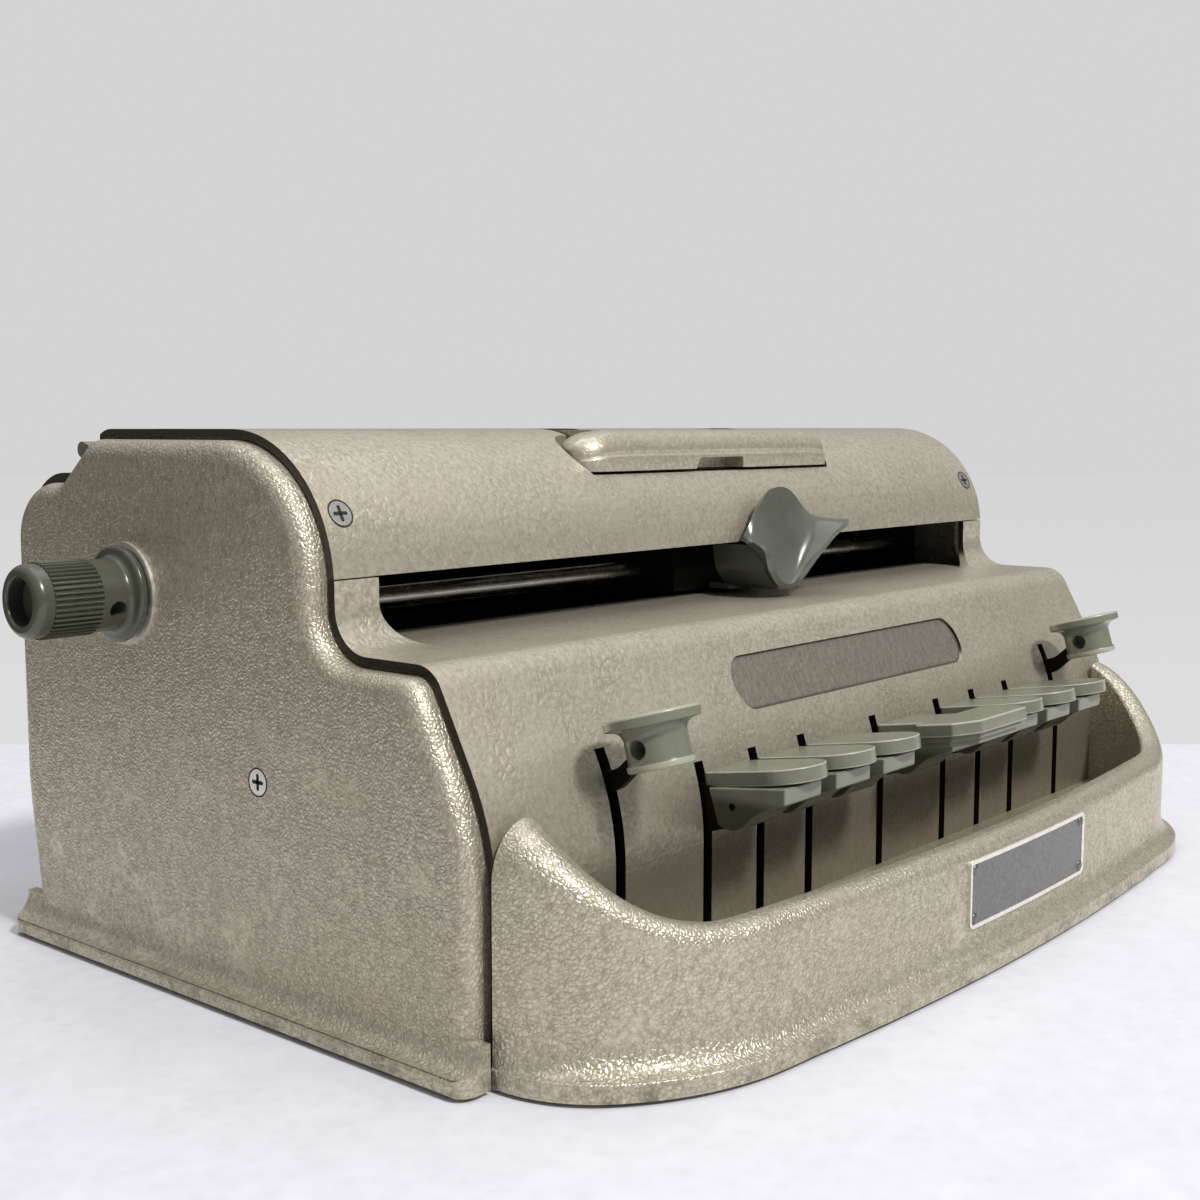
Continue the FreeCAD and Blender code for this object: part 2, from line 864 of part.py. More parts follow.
# ---------------------------------------------------------------- keys

def lever_blank(side, x):
    """Flat steel lever with its hub on the common fulcrum shaft."""
    plate = slab_x(side, x - lever_thick / 2, x + lever_thick / 2)
    hub = rod_x(hub_radius, fulcrum_y, fulcrum_z, x - hub_width / 2, x + hub_width / 2)
    solid = plate.fuse(hub)
    solid = solid.cut(rod_x(fulcrum_radius + running, fulcrum_y, fulcrum_z, x - far, x + far))
    return solid.removeSplitter()


def dot_lever_side(front_y_of_tip):
    return [
        (fulcrum_y - 2, fulcrum_z - hub_drop, 0),
        (tail_y, tail_low, 0),
        (tail_y, tail_top, 0),
        (fulcrum_y, tail_top, 20.0),
        (front_y + 8, pad_rear_z + 1, 20.0),
        (front_y_of_tip, pad_rear_z + 0.5, 0),
        (front_y_of_tip, pad_body_low + 5, 3.0),
        (front_y - 4, pad_body_low + 1.5, 6.0),
        (front_y + 14, pad_body_low, 20.0),
    ]


def dot_lever(x, bar):
    """Key lever with the foot on its tail that lifts one embossing bar."""
    solid = lever_blank(dot_lever_side(pad_rear_y - 14), x)
    if bar is not None:
        half = lever_thick / 2
        y = bar_places()[bar] + foot_width / 2
        foot = box(x - half, y - foot_width, tail_low + 1, x + half, y, bar_low_z - bar_reach)
        solid = solid.fuse(foot).removeSplitter()
    return solid


def line_lever_side():
    return [
        (fulcrum_y - 2, fulcrum_z - hub_drop, 0),
        (tail_y, tail_low, 0),
        (tail_y, tail_top, 0),
        (fulcrum_y, tail_top, 20.0),
        (front_y + 12, 61.5, 20.0),
        (front_y - 1, 63.5, 8.0),
        (disc_y + 2, 70.5, 1.0),
        (disc_y + 2, 65.5, 2.0),
        (front_y - 2, 59.0, 10.0),
        (front_y + 12, 54.0, 20.0),
    ]


def pad_plan(inset, left, front):
    """Key pad seen from above: square at the rear and round at the front."""
    right = left + pad_width
    round_front = pad_width / 2 - inset - 0.01
    return [
        (left + inset, front + inset, round_front),
        (right - inset, front + inset, round_front),
        (right - inset, pad_rear_y - inset, 1.5),
        (left + inset, pad_rear_y - inset, 1.5),
    ]


def tilted(shape):
    """Tip a level key top up at its front, about its rear upper edge."""
    turned_shape = shape.copy()
    turned_shape.rotate(V(0, pad_rear_y, pad_rear_z), V(1, 0, 0), -pad_tilt)
    return turned_shape


def dot_key_top(x, lever):
    """Moulded key top: a rounded pad on a stepped skirt and a tapering body."""
    left = x + pad_offset
    pad = slab_z(pad_plan(0, left, pad_front_y), pad_rear_z, pad_rear_z + pad_thick)
    step = slab_z(pad_plan(1.2, left, pad_front_y), pad_rear_z - 2.4, pad_rear_z)
    top = tilted(pad.fuse(step))
    middle = left + pad_width / 2
    return key_body(top, middle - pad_body_width / 2, middle + pad_body_width / 2 - 1, x, lever)


def key_body(top, left, right, x, lever):
    side = [
        (pad_rear_y - 5, pad_body_low + 1, 2.0),
        (pad_rear_y - 14, pad_body_low, 4.0),
        (pad_rear_y - 19, pad_body_low + 5.5, 12.0),
        (pad_front_y + 5.5, pad_rear_z - 1.2, 3.0),
        (pad_front_y + 5.5, pad_rear_z + 3.5, 0),
        (pad_rear_y - 2.2, pad_rear_z + 0.5, 0),
    ]
    body = slab_x(side, min(left, x - lever_thick / 2 - 1.0), right)
    hole = rod_x(1.1, pad_rear_y - 8.5, pad_body_low + 6, x - 10, x + 3)
    return top.fuse(body).removeSplitter().cut(lever).cut(hole)


def space_key_top(lever):
    """Space key: a narrow neck that widens into a broad head with cut corners."""
    left = pad_offset
    neck = [
        (left, space_head_rear_y - 1, 0),
        (left + pad_width, space_head_rear_y - 1, 0),
        (left + pad_width, pad_rear_y, 1.5),
        (left, pad_rear_y, 1.5),
    ]
    head = space_head_plan(0)
    step = space_head_plan(1.4)
    pad = slab_z(neck, pad_rear_z, pad_rear_z + pad_thick).fuse(slab_z(head, pad_rear_z, pad_rear_z + pad_thick))
    top = tilted(pad.fuse(slab_z(step, pad_rear_z - 2.6, pad_rear_z)))
    middle = left + pad_width / 2
    return key_body(top, middle - pad_body_width / 2, middle + pad_body_width / 2 - 1, 0.0, lever)


def space_head_plan(inset):
    left, right = space_head_left + inset, space_head_right - inset
    front, rear = space_front_y + inset, space_head_rear_y - inset
    return [
        (left + space_chamfer, front, 1.0),
        (right - space_chamfer, front, 1.0),
        (right, front + space_chamfer, 1.0),
        (right, rear, 1.5),
        (left, rear, 1.5),
        (left, front + space_chamfer, 1.0),
    ]


def disc_key_top(x, lever):
    """Round finger disc on a flared stem, used for the line and back keys."""
    profile = [
        (0, 0, 0),
        (disc_radius, 0, 0.8),
        (disc_radius, -2.8, 0.6),
        (disc_radius - 1.6, -2.8, 0),
        (disc_body_radius, -5.2, 2.0),
        (disc_body_radius, -disc_body_drop, 1.0),
        (0, -disc_body_drop, 0),
    ]
    profile.reverse()
    solid = turned(profile, V(0, 0, 0), V(0, 0, 1), lambda p: V(p.x, 0, p.y))
    solid.rotate(V(0, 0, 0), V(1, 0, 0), -disc_tilt)
    solid.translate(V(x, disc_y, disc_z))
    hole = rod_x(1.6, disc_y + 3.0, disc_z - 9.6, x - disc_radius, x - disc_body_radius + 3.5)
    return solid.cut(lever).cut(hole)


# ---------------------------------------------------------------- embossing bars and carriage

def embossing_bar(index):
    """Long blade in the side frames' slots; its key lever lifts it under the tappets."""
    y = bar_places()[index]
    blade = box(-frame_out, y - bar_thick / 2, bar_low_z + bar_side_gap, frame_out, y + bar_thick / 2, bar_high_z)
    return blade


def lower_block():
    left, right = carriage_x - carriage_width / 2, carriage_x + carriage_width / 2
    block = box(left, bar_places()[0] - 2, lower_block_low, right, block_rear_y, lower_block_high)
    block = block.cut(box(left - 1, 0, lower_block_high - 3, right + 1, ledge_back_y + 0.5, lower_block_high + 1))
    anvil = box(carriage_x - 8, cell_y - 6, lower_block_high, carriage_x + 8, cell_y + 6, throat_low)
    block = block.fuse(anvil)
    block = block.cut(rod_x(rail_radius + running, lower_rail_y, lower_rail_z, left - 1, right + 1))
    for pin in pin_solids() + tappet_solids():
        block = block.cut(pin)
    return block.removeSplitter()


def pin_solids():
    """Six embossing pins in the braille cell's two columns of three."""
    pins = []
    for column in (-1, 1):
        for row in (-1, 0, 1):
            x = carriage_x + column * cell_pitch / 2
            pins.append(rod_z(pin_radius, x, cell_y + row * cell_pitch, lower_block_high - 4, throat_low + 0.4))
    return pins


def tappet_solids():
    """Six tappets under the block, one above each embossing bar."""
    low = bar_high_z + (bar_places()[-1] - fulcrum_y) * math.radians(key_swing) + tappet_clearance
    tappets = []
    for index, y in enumerate(bar_places()):
        x = carriage_x + (-1 if index % 2 else 1) * 4.0
        tappets.append(rod_z(tappet_radius, x, y, low, lower_block_low + 4))
    return tappets


def embossing_head():
    """Upper block with the dimpled die, sliding on the upper rail."""
    left, right = carriage_x - carriage_width / 2, carriage_x + carriage_width / 2
    side = [
        (head_front_y, throat_high, 1.0),
        (block_rear_y, throat_high, 1.0),
        (block_rear_y, head_high, 4.0),
        (head_front_y + 6, head_high, 3.0),
        (head_front_y, head_high - 6, 3.0),
    ]
    block = slab_x(side, left, right)
    block = block.cut(rod_x(rail_radius + running, upper_rail_y, upper_rail_z, left - 1, right + 1))
    for pin in pin_solids():
        centre = pin.BoundBox.Center
        block = block.cut(Part.makeSphere(pin_radius * 1.2, V(centre.x, centre.y, throat_high)))
    return block.removeSplitter()


def carriage_pawl():
    """Arm from the head to the rack, held just clear of the teeth."""
    arm = box(carriage_x - 3, block_rear_y, rack_low_z + 1, carriage_x + 3, rack_front_y - 1.6, rack_high_z - 1)
    nose = box(carriage_x - 0.8, rack_front_y - 1.6, rack_low_z + 1, carriage_x + 0.8, rack_front_y - 0.3, rack_high_z - 1)
    return arm.fuse(nose).removeSplitter()


def spline(points):
    curve = Part.BSplineCurve()
    curve.interpolate([V(*p) for p in points])
    return curve.toShape()


def carriage_lever():
    """Saddle of formed sheet in front of the window, with a strap back to the head."""
    middle = carriage_x + 3.0
    front = [
        (middle - 27.5, -20.0, 109.6),
        (middle - 20.0, -28.0, 109.2),
        (middle - 13.0, -28.5, 104.5),
        (middle - 7.0, -28.0, 97.6),
        (middle, -27.0, 94.6),
        (middle + 8.0, -28.0, 98.2),
        (middle + 14.0, -29.5, 105.5),
        (middle + 19.5, -31.0, 112.6),
        (middle + 28.0, -27.0, 114.0),
    ]
    rear = [
        (middle - 27.5, -18.6, 109.8),
        (middle - 20.5, -18.4, 110.4),
        (middle - 11.5, -18.4, 115.5),
        (middle - 3.0, -18.6, 123.0),
        (middle + 3.0, -19.4, 125.2),
        (middle + 8.5, -19.2, 123.4),
        (middle + 14.0, -19.0, 118.2),
        (middle + 20.0, -19.0, 114.8),
        (middle + 28.0, -19.6, 114.2),
    ]
    skin = Part.makeRuledSurface(spline(front), spline(rear))
    saddle = skin.makeOffsetShape(-lever_wall, 0.01, fill=True)
    strap = box(middle - 7, -26.0, throat_high + 0.1, middle + 7, head_front_y, throat_high + 0.1 + lever_wall)
    return saddle, strap


# ---------------------------------------------------------------- rails, rack, guides

def carriage_rails():
    return group([
        rod_x(rail_radius, upper_rail_y, upper_rail_z, -frame_out, frame_out),
        rod_x(rail_radius, lower_rail_y, lower_rail_z, -frame_out, frame_out),
    ])


def carriage_rack():
    """Toothed bar that spaces the cells."""
    bar = box(-frame_x, rack_front_y, rack_low_z, frame_x, rack_front_y + rack_depth, rack_high_z)
    count = int(2 * frame_x / tooth_pitch) - 1
    for i in range(count):
        x = -frame_x + (i + 1) * tooth_pitch
        notch = [
            (x - tooth_pitch * 0.32, rack_front_y - 1, 0),
            (x + tooth_pitch * 0.32, rack_front_y - 1, 0),
            (x, rack_front_y + tooth_depth, 0),
        ]
        bar = bar.cut(slab_z(notch, rack_low_z - 1, rack_high_z + 1))
    return bar


def paper_guide():
    """Level plate that leads the paper from the embossing head to the rollers."""
    return box(-frame_x, block_rear_y + 1, guide_z - guide_thick, frame_x, feed_y - press_radius - 3, guide_z)


def paper_drum():
    """Hollow drum that the paper winds round, with its two end hubs."""
    shell = rod_x(drum_radius, drum_y, drum_z, -frame_x, frame_x)
    return shell.cut(rod_x(drum_radius - 2, drum_y, drum_z, -frame_x + 3, frame_x - 3))


# ---------------------------------------------------------------- feed and pressure rollers

def feed_roller():
    shaft_end = end_x + knob_gap + knob_length - 6
    shaft = rod_x(feed_shaft_radius, feed_y, feed_z, -shaft_end, shaft_end)
    sleeve = rod_x(feed_radius, feed_y, feed_z, -feed_half, feed_half)
    return shaft.fuse(sleeve).removeSplitter()


def knob():
    """Right feed knob: flange, collar with its set screw hole, ribbed grip, lip and bore."""
    start = end_x + knob_gap
    end = start + knob_length
    grip_start = start + knob_flange + knob_collar
    profile = [
        (start, 0, 0),
        (end, 0, 0),
        (end, knob_collar_radius, 2.2),
        (grip_start, knob_collar_radius, 0),
        (start + knob_flange + 1.5, knob_collar_radius, 1.2),
        (start + knob_flange, knob_flange_radius, 1.2),
        (start, knob_flange_radius, 0),
    ]
    body = turned(profile, V(0, 0, 0), V(1, 0, 0), lambda p: V(p.x, 0, p.y))
    ribs = []
    for i in range(knurls * 2):
        radius = knob_radius if i % 2 else knob_radius - 0.7
        turn = math.pi * i / knurls
        ribs.append(V(grip_start, math.cos(turn) * radius, math.sin(turn) * radius))
    ribs.append(ribs[0])
    grip = Part.Face(Part.makePolygon(ribs)).extrude(V(knob_grip, 0, 0))
    body = body.fuse(grip)
    body = body.cut(rod_x(knob_bore, 0, 0, end - 6, end + 1))
    body = body.cut(rod_x(feed_shaft_radius, 0, 0, start - 1, end - 5))
    screw_hole = Part.makeCylinder(2.0, knob_collar_radius + 1, V(start + knob_flange + 3.9, 0, 0), V(0, -0.94, -0.34))
    body = body.cut(screw_hole)
    body.translate(V(0, feed_y, feed_z))
    return body


def bush():
    """Right bearing bush in the end panel, with the bright ring behind the knob."""
    body = rod_x(bush_radius, feed_y, feed_z, end_x - end_wall - 2, end_x)
    ring = rod_x(bush_ring_radius, feed_y, feed_z, end_x, end_x + bush_ring)
    return body.fuse(ring).cut(rod_x(feed_shaft_radius + running, feed_y, feed_z, 0, far)).removeSplitter()


def ratchet_wheel():
    """Line spacing ratchet on the feed shaft, between the right frame and end panel."""
    points = []
    for i in range(ratchet_teeth):
        turn = 2 * math.pi * i / ratchet_teeth
        step = 2 * math.pi / ratchet_teeth
        points.append(V(ratchet_x, math.cos(turn) * ratchet_radius, math.sin(turn) * ratchet_radius))
        low = turn + step * 0.12
        points.append(V(ratchet_x, math.cos(low) * (ratchet_radius - 2), math.sin(low) * (ratchet_radius - 2)))
    points.append(points[0])
    wheel = Part.Face(Part.makePolygon(points)).extrude(V(ratchet_thick, 0, 0))
    wheel = wheel.cut(rod_x(feed_shaft_radius, 0, 0, 0, far))
    wheel.translate(V(0, feed_y, feed_z))
    return wheel


press_z = feed_z - feed_radius - press_gap - press_radius
press_half = feed_half - press_inset
release_arm_x = feed_half + release_arm_gap + release_arm_thick / 2


def pressure_roller():
    shaft_half = release_arm_x + release_arm_thick
    shaft = rod_x(press_shaft_radius, feed_y, press_z, -shaft_half, shaft_half)
    sleeve = rod_x(press_radius, feed_y, press_z, -press_half, press_half)
    return shaft.fuse(sleeve).removeSplitter()


def bent_plate(points, width, x0, x1):
    """Plate along a route of (y, z) points: round ends joined by straight webs."""
    parts = []
    for y, z in points:
        parts.append(rod_x(width / 2, y, z, x0, x1))
    for first, last in zip(points, points[1:]):
        dy, dz = last[0] - first[0], last[1] - first[1]
        length = math.hypot(dy, dz)
        ny, nz = -dz / length * width / 2, dy / length * width / 2
        web = [
            V(x0, first[0] + ny, first[1] + nz),
            V(x0, last[0] + ny, last[1] + nz),
            V(x0, last[0] - ny, last[1] - nz),
            V(x0, first[0] - ny, first[1] - nz),
            V(x0, first[0] + ny, first[1] + nz),
        ]
        parts.append(Part.Face(Part.makePolygon(web)).extrude(V(x1 - x0, 0, 0)))
    return fuse(parts)


def release_arms():
    """Shaft and two arms that hold the pressure roller up against the feed roller."""
    shaft_half = release_x + release_lever_thick / 2
    parts = [rod_x(release_shaft_radius, release_y, release_z, -shaft_half, shaft_half)]
    for side in (-1, 1):
        x0 = side * release_arm_x - release_arm_thick / 2
        route = [(release_y, release_z), (feed_y, press_z)]
        parts.append(bent_plate(route, 9.0, x0, x0 + release_arm_thick))
    solid = fuse(parts)
    return solid.cut(rod_x(press_shaft_radius + running, feed_y, press_z, -far, far))


def release_lever(side):
    """Paper release lever: rises through the rear gap and leans back over the hump."""
    x0 = side * release_x - release_lever_thick / 2
    route = [(release_y, release_z), (release_y + 4, release_z + 21), (release_y + 15, release_z + 25)]
    plate = bent_plate(route, 4.4, x0, x0 + release_lever_thick)
    boss = rod_x(release_shaft_radius + 2.5, release_y, release_z, x0, x0 + release_lever_thick)
    solid = plate.fuse(boss).removeSplitter()
    return solid.cut(rod_x(release_shaft_radius, release_y, release_z, -far, far))


# ---------------------------------------------------------------- margins, bell, mainspring

def margin_bar():
    return rod_x(margin_bar_radius, margin_bar_y, margin_bar_z, -frame_out, frame_out)


def margin_stop(x):
    """Sliding block on the margin bar with a finger tab out through the rear slot."""
    block = rod_x(stop_radius, margin_bar_y, margin_bar_z, x - stop_length / 2, x + stop_length / 2)
    reach = hump_rear_radius + sheet + stop_tab_out
    neck = slanted_box(stop_tab / 2, x, stop_neck / 2, 3.0, reach)
    solid = block.fuse(neck)
    return solid.cut(rod_x(margin_bar_radius + running, margin_bar_y, margin_bar_z, -far, far)).removeSplitter()


def bell():
    """Gong on a stud from the left side frame."""
    profile = [
        (-frame_out, 0, 0),
        (bell_x - 4, 0, 0),
        (bell_x - 4, 3.0, 0),
        (bell_x - 2, 6.0, 3.0),
        (bell_x + 2, bell_radius, 3.0),
        (bell_x + 5, bell_radius, 0),
        (bell_x + 5, bell_radius - 1.2, 0),
        (bell_x - 0.5, 5.0, 0),
        (bell_x - 0.5, 2.0, 0),
        (-frame_out, 2.0, 0),
    ]
    solid = turned(profile, V(0, 0, 0), V(1, 0, 0), lambda p: V(p.x, 0, p.y))
    solid.translate(V(0, bell_y, bell_z))
    return solid


def bell_hammer():
    """Small hammer that hangs beside the gong on a pin in the left frame."""
    y = bell_y + bell_radius + 6.0
    z = bell_z + hammer_length
    x0, x1 = bell_x + 2.0, bell_x + 4.0
    arm = box(x0, y - 1.2, bell_z, x1, y + 1.2, z)
    eye = rod_x(3.5, y, z, x0, x1)
    head = rod_x(3.2, y - 1.5, bell_z, x0 - 1.5, x1)
    return fuse([arm, eye, head]).cut(rod_x(1.5 + running, y, z, -far, far))


def hammer_pin():
    y = bell_y + bell_radius + 6.0
    z = bell_z + hammer_length
    return rod_x(1.5, y, z, bell_x + 1.0, -frame_out)


def spring_drum():
    """Mainspring barrel that draws the carriage along."""
    half = spring_drum_width / 2
    drum = rod_x(spring_drum_radius, spring_drum_y, spring_drum_z, spring_drum_x - half, spring_drum_x + half)
    groove = rod_x(spring_drum_radius + 1, spring_drum_y, spring_drum_z, spring_drum_x - 1.5, spring_drum_x + 1.5)
    groove = groove.cut(rod_x(spring_drum_radius - 2, spring_drum_y, spring_drum_z, 0, far))
    drum = drum.cut(groove)
    return drum.cut(rod_x(3.0 + running, spring_drum_y, spring_drum_z, 0, far))


def spring_arbor():
    return rod_x(3.0, spring_drum_y, spring_drum_z, frame_out, spring_drum_x + spring_drum_width / 2 + 1)


# ---------------------------------------------------------------- assembly

nodes["right_end_panel"] = less_screws(end_panel())
nodes["left_end_panel"] = less_screws(mirrored(end_panel()))
nodes["front_panel"] = front_panel()
nodes["top_cover"] = top_cover()
nodes["rear_cover"] = rear_cover()
plate, rivets = label_parts()
nodes["key_tray"] = key_tray().cut(rivets)
nodes["label_plate"] = group([plate, rivets])
nodes["carry_handle"] = carry_handle()
nodes["pivot_pins"] = group([handle_pins(), hammer_pin(), spring_arbor()])
recessed = [screw(point, into).cut(cross_recess(point, into)) for point, into in casing_screw_places()]
nodes["casing_screws"] = group(recessed)
nodes["bottom_plate"] = bottom_plate_solid()
nodes["rubber_feet"] = rubber_feet()
nodes["right_side_frame"] = side_frame()
nodes["left_side_frame"] = mirrored(side_frame())
nodes["frame_cross_rods"] = group([tie_bars(), carriage_rails(), margin_bar()])
nodes["key_fulcrum_shaft"] = rod_x(fulcrum_radius, fulcrum_y, fulcrum_z, -frame_out, frame_out)
nodes["key_return_springs"] = key_springs()
nodes["carriage_rack"] = carriage_rack()
nodes["paper_guides"] = group([paper_guide(), paper_drum()])
nodes["bell"] = bell()
nodes["feed_bushes"] = group([bush(), mirrored(bush())])

for order, (name, x) in enumerate(dot_slots.items()):
    lever = dot_lever(x, order)
    nodes["dot_%s_lever" % name] = lever
    nodes["dot_%s_key_top" % name] = dot_key_top(x, lever)
    nodes["embossing_bar_%s" % name] = embossing_bar(order)
space_lever = dot_lever(0.0, None)
nodes["space_lever"] = space_lever
nodes["space_key_top"] = space_key_top(space_lever)
for name, x in (("line_space", -line_slot_x), ("backspace", line_slot_x)):
    lever = lever_blank(line_lever_side(), x)
    nodes[name + "_lever"] = lever
    nodes[name + "_key_top"] = disc_key_top(x, lever)

nodes["carriage_block"] = lower_block()
nodes["embossing_pins"] = group(pin_solids() + tappet_solids())
nodes["embossing_head"] = embossing_head().fuse(carriage_pawl()).removeSplitter()
saddle, strap = carriage_lever()
nodes["carriage_lever"] = saddle.fuse(strap).removeSplitter()
nodes["feed_roller"] = feed_roller()
nodes["right_feed_knob"] = knob()
nodes["left_feed_knob"] = mirrored(knob())
nodes["ratchet_wheel"] = ratchet_wheel()
nodes["pressure_roller"] = pressure_roller()
nodes["release_arms"] = release_arms()
nodes["release_levers"] = group([release_lever(-1), release_lever(1)])
nodes["left_margin_stop"] = margin_stop(left_stop_x)
nodes["right_margin_stop"] = margin_stop(right_stop_x)
nodes["bell_hammer"] = bell_hammer()
nodes["mainspring_drum"] = spring_drum()

os.makedirs("parts", exist_ok=True)
for name, shape in nodes.items():
    shape.exportStep("parts/%s.step" % name)
    print(name, len(shape.Solids), shape.isValid(), round(shape.Volume))
print(len(nodes), "nodes")
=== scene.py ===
import json
import math

import bmesh
import bpy
from mathutils import Euler, Matrix, Vector


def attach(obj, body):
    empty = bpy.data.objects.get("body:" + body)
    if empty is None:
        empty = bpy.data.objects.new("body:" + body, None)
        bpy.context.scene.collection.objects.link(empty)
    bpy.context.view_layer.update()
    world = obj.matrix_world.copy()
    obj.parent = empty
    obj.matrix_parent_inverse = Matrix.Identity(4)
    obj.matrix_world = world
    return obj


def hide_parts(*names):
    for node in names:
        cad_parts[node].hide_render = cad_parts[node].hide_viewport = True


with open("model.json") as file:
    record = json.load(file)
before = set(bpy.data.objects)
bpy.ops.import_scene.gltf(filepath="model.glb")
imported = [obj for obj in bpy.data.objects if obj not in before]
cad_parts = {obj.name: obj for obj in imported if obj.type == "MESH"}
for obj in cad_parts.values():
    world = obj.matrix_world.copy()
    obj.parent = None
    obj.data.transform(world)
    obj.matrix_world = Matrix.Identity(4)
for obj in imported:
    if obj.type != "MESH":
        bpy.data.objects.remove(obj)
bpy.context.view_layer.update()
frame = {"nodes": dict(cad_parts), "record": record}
nodes = frame["nodes"]

MM = 0.001

# ---- camera, solved from the photograph ----
CAMERA_PLACE = (-400.3, -299.2, 143.2)
CAMERA_YAW = -49.73
CAMERA_DOWN = 6.20
CAMERA_LENS = 47.8

# ---- stage ----
FLOOR_HALF = 4.0
FLOOR_DEPTH = 0.712                 # how far ahead of the camera the table gives way to the wall
FLOOR_COLOR = (0.565, 0.57, 0.62)
BOUNCE_COLOR = (0.76, 0.75, 0.76)   # what the part gets back from the board it stands on
TABLE_COLOR = (0.10, 0.085, 0.045)  # what it gets back from beside the board
WALL_COLOR = (0.655, 0.655, 0.662)
BOARD_SLANT = 0.42
BOARD_EDGE = 0.22
WORLD_STOPS = [(0.0, 0.11), (0.12, 0.15), (0.42, 0.62), (0.75, 0.98)]
WORLD_LEVEL = 0.7
KEY_WAY = (-0.056, -0.665, 0.745)
KEY_POWER = 96.0
KEY_TINT = (1.0, 0.985, 0.95)
CEILING_WAY = (0.1, 0.1, 1.0)
CEILING_POWER = 22.0


def mm(x, y, z):
    return Vector((x, y, z)) * MM


def between(pair, share):
    """Value a share of the way from the pair's first to its second."""
    return pair[0] + (pair[1] - pair[0]) * share


# ---------------------------------------------------------------- materials

class Graph:
    """A material's node tree, with short ways to add and link nodes."""

    def __init__(self, name, **sockets):
        self.material = bpy.data.materials.new(name)
        self.material.use_nodes = True
        self.tree = self.material.node_tree
        self.shader = self.tree.nodes["Principled BSDF"]
        self.set(self.shader, sockets)
        self.place = self.tree.nodes.new("ShaderNodeTexCoord").outputs["Object"]

    def set(self, node, sockets):
        """Give inputs their values or links.  An underscore in a name stands for a space."""
        for key, value in sockets.items():
            socket = node.inputs[key.replace("_", " ") if isinstance(key, str) else key]
            if isinstance(value, bpy.types.NodeSocket):
                self.tree.links.new(value, socket)
            else:
                socket.default_value = value

    def add(self, kind, settings=None, inputs=None):
        node = self.tree.nodes.new("ShaderNode" + kind)
        for key, value in (settings or {}).items():
            setattr(node, key, value)
        self.set(node, inputs or {})
        return node

    def parts(self, vector=None):
        """X, Y and Z of a vector, or of the place on the object."""
        return self.add("SeparateXYZ", None, {0: vector or self.place}).outputs

    def noise(self, scale, detail, rough, place=None):
        node = self.add("TexNoise", None, {
            "Vector": place or self.place, "Scale": scale, "Detail": detail, "Roughness": rough})
        return node.outputs["Fac"]

    def ramp(self, value, stops):
        node = self.add("ValToRGB", None, {"Fac": value})
        points = node.color_ramp.elements
        while len(points) < len(stops):
            points.new(0.5)
        for point, (where, color) in zip(points, stops):
            point.position = where
            point.color = color if len(color) == 4 else (*color, 1.0)
        return node.outputs["Color"]

    def math(self, kind, a, b=0.0, c=0.0):
        node = self.add("Math", {"operation": kind}, {0: a, 1: b, 2: c})
        return node.outputs[0]

    def mix(self, share, a, b):
        return self.add("Mix", {"data_type": "RGBA"}, {0: share, 6: a, 7: b}).outputs[2]

    def bump(self, height, distance, strength=1.0):
        inputs = {"Height": height, "Distance": distance, "Strength": strength}
        return self.add("Bump", None, inputs).outputs["Normal"]


def rgba(r, g, b):
    return (r, g, b, 1.0)


def shade(tint, *factors):
    """A colour made lighter or darker, by one factor or by one for each of its parts."""
    factors = factors * 3 if len(factors) == 1 else factors
    return rgba(*(part * factor for part, factor in zip(tint, factors)))


def smooth_step(g, value, low, high):
    """0 below low, 1 above high, and a smooth way between."""
    node = g.add("MapRange", {"interpolation_type": "SMOOTHSTEP"}, {
        "Value": value, "From Min": low, "From Max": high})
    return node.outputs[0]


def pill_depth(g, parts, middle, half, radius):
    """How far a place lies inside a round-cornered outline in X and Z, in metres."""
    across = g.math("SUBTRACT", parts["X"], middle[0])
    up = g.math("SUBTRACT", parts["Z"], middle[1])
    x = g.math("MAXIMUM", g.math("SUBTRACT", g.math("ABSOLUTE", across), half[0] - radius), 0.0)
    z = g.math("MAXIMUM", g.math("SUBTRACT", g.math("ABSOLUTE", up), half[1] - radius), 0.0)
    reach = g.math("SQRT", g.math("ADD", g.math("MULTIPLY", x, x), g.math("MULTIPLY", z, z)))
    return g.math("SUBTRACT", radius, reach)


# Sizes and heights inside materials are in metres.
ENAMEL_TINT = (0.43, 0.405, 0.335)
WORN_THROUGH = (0.10, 0.085, 0.06)
WEAR_HEIGHTS = (0.0068, 0.0022)     # between these the finish wears away towards the table
PANEL_SHADE_HEIGHTS = (0.07, 0.036)        # between these the front panel darkens towards the key tray, a painted shade
# Each pair holds the value on smooth sheet, then the value on a pebbled casting.
PEBBLE_SCALE = (430.0, 850.0)
PEBBLE_WARP = (0.0024, 0.0012)
PEBBLE_SWELL = (0.5, 1.2)
PEBBLE_DEPTH = (0.00013, 0.0001)
CREASE_TONE = (0.3, 0.4)
BROKEN_LOW = (0.4, 0.22)
BROKEN_HIGH = (0.68, 0.48)


